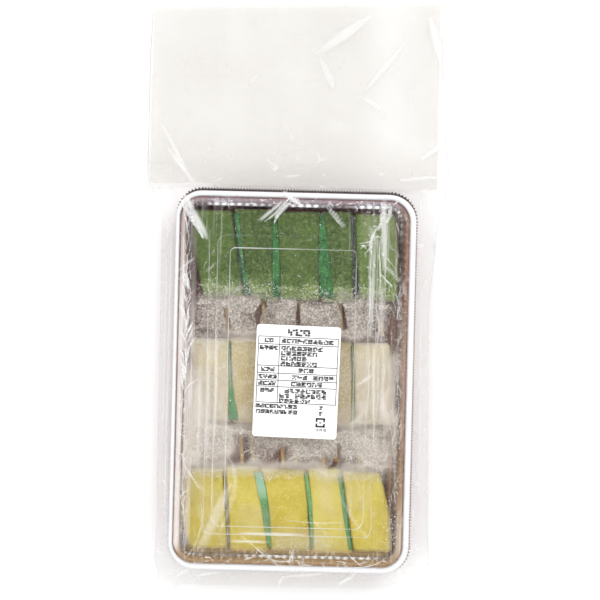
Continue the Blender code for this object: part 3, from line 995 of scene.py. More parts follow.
@dataclass(frozen=True)
class StudioFloor(Finish):
    """Plain pale floor."""

    def fill(self, graph: Graph, shader: bpy.types.Node, effects: Effects) -> None:
        """Set and link the shader's sockets."""
        mottle = graph.use(effects.mottle, {
            "Tone": rgba(
                (0.97, 0.97, 0.97)), "Other Tone": rgba((0.96, 0.96, 0.96)), "Coarse": 3.0, "Fine": 20.0,
        })
        graph.feed(shader.inputs["Base Color"], mottle.outputs["Colour"])
        shader.inputs["Roughness"].default_value = 0.9


# --------------------------------------------------------------------------- tray and lid


@dataclass
class RimLine:
    """The line down the middle of the rim's bright bead, which tray and lid are both measured from."""

    half_x: float = 67.7
    half_y: float = 107.3
    radius: float = 14.0

    def offset(self, rings: RoundedRing, inset: float, least: float = 3.0) -> tuple[Points, Points]:
        """Ring parallel to the line, moved inwards.

        Args:
            rings: how the ring is stepped.
            inset: distance inwards.
            least: smallest corner radius.

        Returns:
            Points and outward normals.
        """
        radius = max(self.radius - inset, least)
        return rings.points(self.half_x - inset, self.half_y - inset, radius)


@dataclass
class Tray:
    """Fluted maroon tray with a finely serrated flange.

    Attributes:
        rim: the rim's line.
        flange_z: top of the flange.
        reach: how far the flange runs outside the line on each side.
        tooth: depth of the serration.
        tooth_pitch: its pitch.
        wall: thickness of the sheet that it is formed from.
        base_z: height of its underside.
        icy: frost on each side's wall.
        food_reflection: painted reflection of the food's warm light on each side's wall.
        edge_shade_share: painted shade on the flange's edge on each side.
        flute: depth of the wall's flutes.
        flute_pitch: their pitch.
        rings: how its rings are stepped.
    """

    rim: RimLine
    flange_z: float = 21.0
    wall: float = 0.55
    base_z: float = 0.75
    reach: dict[Side, float] = side_field(1.7, 3.0, 3.9, 2.1)
    icy: dict[Side, float] = side_field(0.18, 0.36, 0.14, 0.35)
    food_reflection: dict[Side, float] = side_field(0.15, 0.40, 0.0, 0.75)
    edge_shade_share: dict[Side, float] = side_field(0.2, 0.3, 1.0, 0.6)
    tooth: float = 1.5
    tooth_pitch: float = 1.7
    flute: float = 1.0
    flute_pitch: float = 4.5
    rings: RoundedRing = RoundedRing(290, 500, 60)

    def build(self) -> bpy.types.Object:
        """Loft the tray as one closed skin.

        Returns:
            The tray's object.
        """
        rings = self.rings
        line, normals = self.rim.offset(rings, 0.0)
        run = run_length(line)
        teeth = np.abs(((run / self.tooth_pitch) % 1.0) - 0.5) * 2.0
        flutes = 0.5 - 0.5 * np.cos(run / self.flute_pitch * math.tau)
        reach = side_blend(normals, self.reach) + 1.2 * (normals[:, 0] * normals[:, 1]) ** 2
        top, low = self.flange_z, self.base_z + self.wall
        profile = [      # inset, height, share of teeth, share of flutes, follows the side's reach
            (9.4, self.base_z, 0.0, 0.0, 0), (
                7.6, self.base_z + 0.4, 0.0, 0.5, 0), (6.2, self.base_z + 3.0, 0.0, 1.0, 0),
            (4.0, top - 1.4, 0.0, 1.0, 0), (
                3.4, top - self.wall, 0.0, 0.6, 0), (2.6, top - self.wall, 0.0, 0.0, 0),
            (
                0.9, top - self.wall, 0.2, 0.0, 1
            ), (0.35, top - 1.9, 1.0, 0.0, 1), (0.0, top - 1.9, 1.0, 0.0, 1),
            (0.0, top - 0.5, 1.0, 0.0, 1), (0.45, top - 0.06, 0.7, 0.0, 1), (1.0, top, 0.2, 0.0, 1),
            (2.4, top, 0.0, 0.0, 0), (3.2, top - 0.1, 0.0, 0.0, 0), (4.1, top - 0.1, 0.0, 0.4, 0),
            (4.5, top - 0.9, 0.0, 1.0, 0), (5.0, top - 3.0, 0.0, 1.0, 0), (6.2, low + 8.0, 0.0, 1.0, 0),
            (6.7, low + 3.0, 0.0, 1.0, 0), (7.4, low + 0.9, 0.0, 0.7, 0), (8.6, low + 0.2, 0.0, 0.2, 0),
            (10.5, low, 0.0, 0.0, 0),
        ]
        layers, icy, food_reflection = [], [], []
        for inset, z, toothed, fluted, follows in profile:
            points, _ = self.rim.offset(rings, inset if not follows else 0.0)
            push = toothed * self.tooth * (teeth - 1.0) + fluted * self.flute * flutes
            if follows:
                push = push + reach - inset
            points = points + normals * push[:, None]
            layers.append(np.column_stack([points, np.full(len(points), z)]))
            inside = float(inset > 2.0)
            icy.append(side_blend(normals, self.icy) * inside)
            # painted reflection of the food's warm light inside the walls, strongest on the seam side
            food_reflection.append(
                side_blend(normals, self.food_reflection) * inside * (
                    0.5 - 0.5 * normals[:, 1] * (1.0 - normals[:, 0] ** 2))
            )
        faces = shell_faces(len(layers), rings.count)
        piece = make_piece("tray_shell", np.concatenate(layers), faces)
        paint(piece, "icy", np.concatenate(icy))
        paint(piece, "food_reflection", np.concatenate(food_reflection))
        # painted shade on the flange's outer edge, by side
        outer = np.concatenate([np.full(rings.count, float(row[0] < 2.0 and row[4])) for row in profile])
        paint(piece, "edge_shade", outer * np.tile(side_blend(normals, self.edge_shade_share), len(profile)))
        fix_normals(piece)
        piece.data.set_sharp_from_angle(angle=math.radians(50))
        return piece


def fix_normals(piece: bpy.types.Object) -> None:
    """Turn all faces of a closed mesh outwards."""
    work = bmesh.new()
    work.from_mesh(piece.data)
    bmesh.ops.recalc_face_normals(work, faces=work.faces)
    work.to_mesh(piece.data)
    work.free()


@dataclass(frozen=True)
class LidRing:
    """One ring of the lid's upper skin.

    Attributes:
        inset: distance inside the rim's line.
        rise: height over the seat.
        corner: least corner radius.
        scallop: share of the scallops' height.
        glint: brightness of its painted glint.
        ledge: opacity of the ledge's tint, a painted reflection.
        curl: how many curls of light it carries.
        step: which step's wall it belongs to, or -1.
        ridge: share of the inner ridge's sideways shift.
        bead: place across the bead, from -1 outside to 1 inside, or None off it.
        inner: whether its tint follows the strip inside the ridge rather than the ledge.
    """

    inset: float
    rise: float
    corner: float = 3.0
    scallop: float = 0.0
    glint: float = 0.0
    ledge: float = 0.0
    curl: float = 0.0
    step: int = -1
    ridge: float = 0.0
    bead: float | None = None
    inner: float = 0.0


@dataclass(frozen=True)
class LidStep:
    """One step up towards the plateau.

    Attributes:
        inset: middle of its wall inside the rim's line.
        rise: its height.
        corner: corner radius.
        wall_highlight: strength of its wall's painted highlight on each side.
    """

    inset: float
    rise: float
    corner: float
    wall_highlight: dict[Side, float]


@dataclass
class Lid:
    """Clear lid: a bead painted bright as a highlight, a ledge tinted with painted reflections and glare, a
    scalloped ridge, and three steps up to the plateau with painted highlights on their walls.
    """

    rim: RimLine
    seat_z: float = 21.35
    sheet: float = 0.3
    bead: float = 1.95
    bead_steps: int = 15
    # share of painted glare on the ledge
    milky: float = 0.85
    bead_half: dict[Side, float] = side_field(1.15, 1.75, 1.60, 1.75)
    # thin cool lines across the bead's painted highlight, by place across the bead and by side
    bead_lines: tuple[tuple[float, dict[Side, float]], ...] = (
        (-1.0, by_side(0.30, 0.35, 0.2, 0.5)), (
            -0.55, by_side(0.45, 0.12, 0.0, 0.22)), (-0.1, by_side(0.20, 0.0, 0.0, 0.0)),
        (0.5, by_side(0.0, 0.20, 0.25, 0.2)), (0.95, by_side(0.55, 0.45, 1.0, 0.6)))
    steps: tuple[LidStep, ...] = (
        LidStep(19.4, 1.5, 4.0, by_side(0.50, 0.45, 0.04, 0.95)),
        LidStep(24.2, 1.6, 5.0, by_side(0.55, 0.45, 0.16, 1.05)),
        LidStep(31.5, 2.6, 3.0, by_side(0.70, 0.40, 1.10, 0.10)),
    )
    step_shift: tuple[float, float] = (-0.8, 0.5)
    step_width: float = 0.75
    seam_spread: float = 0.9
    scallop_pitch: float = 4.4
    rings: RoundedRing = RoundedRing(220, 380, 36)
    ridge_shift: dict[Side, float] = side_field(-1.0, 0.6, 0.0, 0.9)
    ridge_glint: dict[Side, float] = side_field(0.50, 0.30, 1.25, 0.75)
    # painted reflection of the food on the ledge, by side
    ledge_food_reflection: dict[Side, float] = side_field(0.45, 0.65, 0.05, 1.0)
    inner_ledge: dict[Side, float] = side_field(0.9, 0.9, 0.0, 2.2)
    curl_side: dict[Side, float] = side_field(0.6, 0.30, 0.15, 0.25)

    def build(self) -> bpy.types.Object:
        """Loft the lid's upper skin and its underside.

        Returns:
            The lid's object, its bead's faces in material slot 1.
        """
        rings = self.rings
        line, normals = self.rim.offset(rings, 0.0)
        run = run_length(line)
        scallops = 0.5 + 0.5 * np.cos(run / self.scallop_pitch * math.tau)
        broken = 0.25 + 0.75 * smooth_step(-0.45, 0.15, lattice_noise(run, np.zeros_like(run), 17.0, 4))
        # uneven strength of the painted highlight on the step walls along the rim
        patchy = 0.35 + 0.65 * smooth_step(-0.5, 0.3, layered_noise(run, np.zeros_like(run), 34.0, 8, 2))
        line_y = line[:, 1]
        sideways, low = normals[:, 0] ** 2, 1.0 - smooth_step(-90.0, -58.0, line_y)
        left, right = sideways * (normals[:, 0] < 0.0), sideways * (normals[:, 0] > 0.0)
        # painted glare on the ledge along the left side and the lower right
        milky = self.milky * (
            left * smooth_step(-106.0, -94.0, line_y) * (1.0 - 0.65 * smooth_step(42.0, 74.0, line_y))
            + 0.45 * right * low)
        dim, calm = right * smooth_step(20.0, 50.0, line_y), 1.0 - 0.7 * left
        # painted reflection of the yellow row on the ledge along the lower sides
        sunny = sideways * (1.0 - smooth_step(-52.0, -14.0, line_y)) * (1.0 - 0.5 * (normals[:, 0] > 0.0))
        upper = []
        painted = {name: [] for name in ("glint", "ledge", "curl", "wall", "food_reflection", "line", "milky")}
        for ring in self._profile():
            points, _ = self.rim.offset(rings, ring.inset, ring.corner)
            stepped = float(smooth_step(10.0, 17.0, ring.inset))
            points = points + np.array(self.step_shift) * stepped
            points[:, 1] -= self.seam_spread * stepped * np.clip(-normals[:, 1], 0.0, 1.0) ** 2
            points = points - normals * (ring.ridge * side_blend(normals, self.ridge_shift))[:, None]
            z = self.seat_z + self.sheet + ring.rise + ring.scallop * 0.3 * scallops * (1.0 - 0.8 * sideways)
            glint = ring.glint * np.ones(rings.count)
            line = np.zeros(rings.count)
            if ring.bead is not None:
                points = points + normals * (-ring.bead * side_blend(normals, self.bead_half))[:, None]
                for place, depths in self.bead_lines:
                    close = math.exp(-((ring.bead - place) / 0.13) ** 2)
                    line = np.maximum(line, close * side_blend(normals, depths))
            if ring.ridge:
                glint = glint * side_blend(
                    normals, self.ridge_glint) * (0.30 + 0.70 * scallops) * broken * calm
            upper.append(np.column_stack([points, z * np.ones(rings.count)]))
            painted["line"].append(line)
            share = side_blend(normals, self.inner_ledge) if ring.inner else 1.0
            painted["milky"].append(milky)
            filled = 0.55 * float(2.0 < ring.inset < 7.5)
            white = milky * (1.0 - 0.9 * smooth_step(36.0, 60.0, line_y)) if ring.inner else milky
            if ring.inner:
                white = white * (0.35 + 0.65 * smooth_step(-62.0, -48.0, line_y))
            # opacity of the ledge's painted reflections and glare, less on the upper right
            strength = (ring.ledge * share * (1.0 + 2.2 * white) + filled * white) * (1.0 - 0.6 * dim)
            painted["ledge"].append(np.minimum(strength * (0.75 + 0.25 * broken), 0.9 + 0.5 * milky))
            painted["curl"].append(ring.curl * side_blend(normals, self.curl_side))
            # painted highlight on the step walls, by side
            wall_lit = side_blend(
                normals, self.steps[ring.step].wall_highlight) * patchy if ring.step >= 0 else 0.25 * np.ones(rings.count)
            painted["wall"].append(wall_lit)
            painted["glint"].append(glint * (wall_lit if ring.step >= 0 else 1.0))
            # painted reflection of the food on the ledge
            painted["food_reflection"].append(np.minimum(side_blend(normals, self.ledge_food_reflection) + 0.5 * sunny, 1.0))
        count = len(upper)
        lower = [ring - np.array([0.0, 0.0, self.sheet]) for ring in upper]
        layers = lower[::-1] + upper
        faces = shell_faces(2 * count, rings.count)
        piece = make_piece("lid_shell", np.concatenate(layers), faces)
        for name, rows in painted.items():
            under = 1.0 if name == "food_reflection" else 0.0
            paint(piece, name, np.concatenate([row * under for row in rows[::-1]] + rows))
        self._mark_bead(piece, count, rings.count)
        fix_normals(piece)
        return piece

    def _profile(self) -> list[LidRing]:
        """Rings of the upper skin, from outside in."""
        profile = [LidRing(0.0, -0.9, glint=0.25, bead=-1.12), LidRing(0.0, 0.1, glint=0.3, bead=-1.06)]
        # bead rings: the painted highlight runs across the whole bead
        for i in range(self.bead_steps):
            across = -1.0 + 2.0 * i / (self.bead_steps - 1)
            rise = self.bead * math.sqrt(max(1.0 - across * across, 0.0)) ** 0.7 * 0.98
            profile.append(LidRing(0.0, rise, glint=0.97 - 0.3 * (abs(across) > 0.97), bead=across))
        profile += [
            LidRing(0.0, -0.1, bead=1.12), LidRing(2.35, -0.12, ledge=0.25, ridge=0.3),
            LidRing(2.6, -0.12, ledge=0.62, ridge=0.5), LidRing(
                3.1, 0.0, ledge=0.50, glint=0.30, ridge=0.8, scallop=0.3),
            LidRing(3.6, 0.0, ledge=0.55, glint=0.05, ridge=0.8), LidRing(4.7, 0.05, ledge=0.5, ridge=1.0),
            LidRing(5.0, 0.25, ledge=0.3, glint=0.6, scallop=0.5, ridge=1.0),
            LidRing(5.4, 0.45, ledge=0.2, glint=1.0, scallop=1.0, ridge=1.0),
            LidRing(6.4, 0.45, glint=1.0, scallop=1.0, ridge=1.0),
            LidRing(6.8, 0.1, glint=0.25, scallop=0.4, curl=0.8, ridge=1.0),
            LidRing(
                7.1, -0.1, curl=1.0, ridge=0.8, ledge=0.15, inner=1.0
            ), LidRing(8.0, -0.1, curl=1.0, ledge=0.2, inner=1.0),
            LidRing(9.5, -0.1, curl=0.8, ledge=0.3, inner=1.0), LidRing(
                10.8, -0.1, curl=0.3, ledge=0.2, inner=1.0),
            LidRing(12.0, -0.05), LidRing(14.0, 0.0, 3.5),
        ]
        level = 0.05
        for index, step in enumerate(self.steps):
            profile.append(LidRing(step.inset - 2.0, level, step.corner, step=index))
            for i in range(7):
                share = i / 6
                eased = share * share * (3.0 - 2.0 * share)
                inset = step.inset + (share - 0.5) * self.step_width
                # painted glint along the middle of each step's wall
                bright = 0.8 * math.sin(math.pi * share) if share < 0.99 else 0.0
                profile.append(
                    LidRing(inset, level + step.rise * eased, step.corner, step=index, glint=bright))
            level += step.rise
        last = self.steps[-1].inset
        return profile + [LidRing(last + 3.0, level, 2.5), LidRing(last + 20.0, level, 2.0)]

    def _mark_bead(self, piece: bpy.types.Object, upper: int, around: int) -> None:
        """Give the bead's faces the second material slot.

        Args:
            piece: the lid, not yet welded.
            upper: number of its upper rings.
            around: points in a ring.
        """
        first = (upper + 2) * around
        for face in piece.data.polygons[first:first + (self.bead_steps - 1) * around]:
            face.material_index = 1


# --------------------------------------------------------------------------- food


class Dough(Enum):
    """The three kinds of block, by row."""

    GREEN = "green"
    WHITE = "white"
    YELLOW = "yellow"


@dataclass(frozen=True)
class Veil:
    """One soft patch of frost or haze.

    Attributes:
        x: middle.
        y: middle.
        reach_x: half its width.
        reach_y: half its length.
        amount: strength.
        lean: slant, millimetres of X for each millimetre of Y.
    """

    x: float
    y: float
    reach_x: float
    reach_y: float
    amount: float
    lean: float = 0.0

    def at(self, x: Points, y: Points) -> Points:
        """Strength at points, flat inside and easing off at the edge."""
        across = np.abs(x - self.x - self.lean * (y - self.y)) / self.reach_x
        along = np.abs(y - self.y) / self.reach_y
        return self.amount * (1.0 - smooth_step(0.6, 1.25, np.maximum(across, along)))


@dataclass
class Frost:
    """Where ice lies in the pack, and the grains and the veil that it is made of.

    Attributes:
        rim: the rim's line.
        grains: patches of grainy ice.
        hazes: patches of smooth, thin ice.
        veil_z: height of the veil.
        veil_inset: how far inside the rim's line it ends.
        veil_corner: radius of its corners.
        grain_count: most grains that are kept.
        grain_tries: how many places are tried for them.
        windows: patches where ice has melted off.
    """

    rim: RimLine
    grains: tuple[Veil, ...] = (
        Veil(0.0, 36.5, 64.0, 9.5, 0.90), Veil(
            -4.0, -36.5, 66.0, 9.5, 0.72), Veil(48.0, 76.0, 12.0, 24.0, 0.12),
        Veil(0.0, 49.5, 62.0, 6.0, 0.36), Veil(
            -30.0, 53.0, 26.0, 9.0, 0.18
        ), Veil(30.0, 53.0, 26.0, 7.0, 0.10), Veil(0.0, 0.0, 63.0, 25.0, 0.20),
        Veil(
            -52.0, 22.0, 12.0, 7.0, 0.30
        ), Veil(-14.0, 22.0, 8.0, 6.0, 0.30), Veil(63.0, -20.0, 3.0, 84.0, 0.30),
        Veil(
            -63.0, -30.0, 3.0, 74.0, 0.35
        ), Veil(0.0, 72.0, 60.0, 26.0, 0.07), Veil(0.0, -75.0, 60.0, 26.0, 0.06),
        Veil(8.0, -93.0, 24.0, 6.0, 0.25), Veil(0.0, -52.0, 62.0, 3.5, 0.25),
    )
    hazes: tuple[Veil, ...] = (
        Veil(
            -6.0, 26.0, 56.0, 3.5, 0.34
        ), Veil(0.0, -26.5, 58.0, 3.5, 0.22), Veil(0.0, -49.0, 60.0, 3.5, 0.30),
        Veil(0.0, 36.0, 62.0, 11.0, 0.06), Veil(-4.0, -37.0, 64.0, 11.0, 0.24), Veil(
            -49.0, -10.0, 14.0, 20.0, 0.42),
        Veil(
            -58.0, -22.0, 8.0, 30.0, 0.30
        ), Veil(47.0, -4.0, 10.0, 20.0, 0.42), Veil(-26.0, -20.0, 10.0, 7.0, 0.20),
        Veil(32.0, -19.0, 10.0, 7.0, 0.24), Veil(-40.0, 50.0, 14.0, 7.0, 0.06), Veil(
            -44.0, -78.0, 7.0, 24.0, 0.12, -0.35),
        Veil(6.0, -92.0, 16.0, 6.0, 0.16), Veil(50.0, 80.0, 10.0, 22.0, 0.08), Veil(
            -63.5, -10.0, 3.2, 96.0, 0.20),
        Veil(50.0, 44.0, 12.0, 10.0, 0.03), Veil(57.0, -2.0, 4.0, 26.0, 0.30),
        Veil(-44.0, -36.0, 14.0, 7.0, 0.12),
        Veil(46.0, -36.0, 12.0, 7.0, 0.06), Veil(-44.0, -40.0, 16.0, 8.0, 0.30),
        Veil(50.0, -40.0, 12.0, 9.0, 0.25),
        Veil(0.0, -51.5, 62.0, 4.5, 0.22), Veil(-63.0, -70.0, 3.5, 32.0, 0.35), Veil(
            0.0, -102.0, 60.0, 3.0, 0.15
        ), Veil(30.0, 4.0, 7.0, 16.0, 0.08), Veil(0.0, -3.0, 60.0, 22.0, 0.05),
        Veil(-18.0, -80.0, 10.0, 9.0, 0.10), Veil(40.0, -66.0, 8.0, 9.0, 0.10), Veil(
            20.0, -60.0, 5.0, 16.0, 0.12, -0.1),
    )
    veil_z: float = 20.6
    veil_inset: float = 5.2
    veil_corner: float = 9.0
    grain_count: int = 15000
    grain_tries: int = 60000
    windows: tuple[Veil, ...] = (
        Veil(-18.4, 40.0, 1.5, 7.0, 0.75), Veil(4.0, 38.0, 1.5, 8.0, 0.75), Veil(27.0, 39.0, 1.5, 7.0, 0.75),
        Veil(-39.5, 34.0, 1.5, 6.0, 0.70), Veil(-5.0, -43.0, 1.5, 6.0, 0.7), Veil(25.5, -42.0, 1.5, 6.0, 0.7),
        Veil(-61.5, 58.0, 4.0, 26.0, 0.9), Veil(50.0, 36.0, 13.0, 9.0, 0.22), Veil(
            -11.0, -41.0, 10.0, 5.0, 0.30),
        Veil(
            -29.0, -40.0, 6.0, 9.0, 0.60
        ), Veil(-5.0, -44.0, 5.0, 4.0, 0.40), Veil(27.0, -46.0, 4.0, 3.5, 0.30),
        Veil(26.0, 37.0, 7.0, 7.0, 0.25), Veil(
            -26.0, 37.0, 6.0, 6.0, 0.20), Veil(-60.0, 42.0, 5.0, 12.0, 0.7),
        Veil(59.0, 30.0, 4.0, 13.0, 0.5), Veil(
            -33.0, -13.0, 4.0, 9.0, 0.85), Veil(-28.0, 4.0, 6.0, 14.0, 0.5),
    )

    @staticmethod
    def _ragged(x: Points, y: Points, seed: int) -> tuple[Points, Points]:
        """Shift places to and fro, so that a patch gets an uneven edge."""
        shift_x = 5.0 * layered_noise(x, y, 13.0, seed, 3)
        shift_y = 5.0 * layered_noise(x, y, 13.0, seed + 5, 3)
        return x + shift_x, y + shift_y

    def grain_at(self, x: Points, y: Points) -> Points:
        """Amount of grainy ice at points, from 0 to 1."""
        x, y = self._ragged(x, y, 201)
        total = sum(veil.at(x, y) for veil in self.grains)
        uneven = 1.0 + 0.45 * layered_noise(x, y, 16.0, 21, 3)
        return np.clip(total * uneven * (1.0 - self.window_at(x, y)), 0.0, 1.0)

    def haze_at(self, x: Points, y: Points) -> Points:
        """Amount of smooth ice at points, from 0 to 1."""
        x, y = self._ragged(x, y, 211)
        total = sum(veil.at(x, y) for veil in self.hazes)
        uneven = 1.0 + 0.5 * layered_noise(x, y, 22.0, 31, 3)
        return np.clip(total * uneven * (1.0 - self.window_at(x, y)), 0.0, 0.8)

    def window_at(self, x: Points, y: Points) -> Points:
        """How far ice has melted off at points, from 0 to 1."""
        return np.clip(sum(veil.at(x, y) for veil in self.windows), 0.0, 0.9)

    def build_veil(self) -> bpy.types.Object:
        """Thin uneven sheet of ice just under the lid.

        Returns:
            The veil's object, with its painted amounts.
        """
        columns, rows = 190, 300
        x, y = np.meshgrid(
            np.linspace(-self.rim.half_x + self.veil_inset, self.rim.half_x - self.veil_inset, columns),
            np.linspace(-self.rim.half_y + self.veil_inset, self.rim.half_y - self.veil_inset, rows))
        z = self.veil_z + 0.25 * layered_noise(x, y, 9.0, 41, 3)
        faces = grid_faces(rows, columns)
        keep_x = self.rim.half_x - self.veil_inset - self.veil_corner
        keep_y = self.rim.half_y - self.veil_inset - self.veil_corner
        over = np.hypot(np.maximum(np.abs(x) - keep_x, 0), np.maximum(np.abs(y) - keep_y, 0)).ravel()
        faces = [face for face in faces if max(over[i] for i in face) < self.veil_corner]
        piece = make_piece("frost_veil", np.column_stack([x.ravel(), y.ravel(), z.ravel()]), faces)
        from_gap = np.minimum(np.abs(y - GREEN_GAP_Y) - 2.0 * (y > GREEN_GAP_Y), np.abs(y - YELLOW_GAP_Y))
        in_gap = 1.0 - smooth_step(8.5, 15.0, from_gap + 4.0 * layered_noise(x, y, 7.0, 47, 2))
        beside = smooth_step(57.0, 60.0, np.abs(x))
        paint(piece, "frost", self.grain_at(x, y) * (0.3 + 0.7 * np.maximum(in_gap, beside)))
        paint(piece, "haze", self.haze_at(x, y))
        drop_loose(piece)
        return piece

    def build_grains(self) -> bpy.types.Object:
        """Small flat crystals, joined in one mesh, thicker where ice lies.

        Returns:
            The grains' object.
        """
        pick = np.random.RandomState(77)
        x = pick.uniform(-61.0, 61.0, self.grain_tries)
        y = pick.uniform(-101.0, 101.0, self.grain_tries)
        keep = pick.uniform(0.05, 0.75, self.grain_tries) < self.grain_at(x, y) ** 1.6
        x, y = x[keep][:self.grain_count], y[keep][:self.grain_count]
        count = len(x)
        in_gap = (np.abs(y - GREEN_GAP_Y) < 8.5) | (np.abs(y - YELLOW_GAP_Y) < 9.5)
        z = np.where(in_gap, pick.uniform(3.0, 19.5, count), pick.uniform(17.2, 19.8, count))
        size = pick.gamma(3.0, 0.06, count) + 0.10
        form = np.array([(1, 0, 0), (-1, 0, 0), (0, 1, 0), (0, -1, 0), (0, 0, 0.6), (0, 0, -0.6)], float)
        sides = np.array(
            [(0, 2, 4), (2, 1, 4), (1, 3, 4), (3, 0, 4), (2, 0, 5), (1, 2, 5), (3, 1, 5), (0, 3, 5)])
        corners = form[None] * size[:, None, None] * pick.uniform(0.45, 1.25, (count, 6, 1))
        angle = pick.uniform(0, math.tau, count)
        tilt = pick.uniform(-1.0, 1.0, count)
        cos_a, sin_a = np.cos(angle)[:, None], np.sin(angle)[:, None]
        turned = np.stack([
            corners[..., 0] * cos_a - corners[..., 1] * sin_a,
            corners[..., 0] * sin_a + corners[..., 1] * cos_a,
            corners[..., 2] + corners[..., 0] * tilt[:, None] * 0.7], axis=-1)
        points = (turned + np.column_stack([x, y, z])[:, None, :]).reshape(-1, 3)
        faces = (sides[None] + 6 * np.arange(count)[:, None, None]).reshape(-1, 3)
        return make_piece("frost_grains", points, faces.tolist(), smooth=False)


def drop_loose(piece: bpy.types.Object) -> None:
    """Delete points that no face uses."""
    work = bmesh.new()
    work.from_mesh(piece.data)
    bmesh.ops.delete(work, geom=[vert for vert in work.verts if not vert.link_faces], context="VERTS")
    work.to_mesh(piece.data)
    work.free()


BLOCK_TONES = {
    Dough.GREEN: (
        (0.26, 0.0, 0.05), (0.05, 0.0, 0.25), (0.05, 0.1, 0.14), (0.0, 0.1, 0.30), (0.28, 0.50, 0.0)),
    Dough.WHITE: ((0.6, 0.4, 0.0), (0.30, 0.10, 0.15), (0.0, 0.0, 0.1), (0.1, 0.3, 0.25), (0.5, 0.7, 0.0)),
    Dough.YELLOW: ((0.2, 0.0, 0.22), (0.1, 0.1, 0.10), (0.0, 0.0, 0.45), (0.4, 0.3, 0.12), (0.0, 0.2, 0.1)),
}
BLOCK_BULGES = {
    (Dough.GREEN, 1): (-1, 2.8, 0.45), (Dough.GREEN, 5): (1, 1.4, 0.5),
    (Dough.YELLOW, 1): (-1, 4.4, 0.50), (Dough.YELLOW, 5): (1, 2.2, 0.62),
}
BULGE_REACH = 9.0
DEEP_SPOT = (-2.0, -51.0, 5.5, 3.2, 0.5)


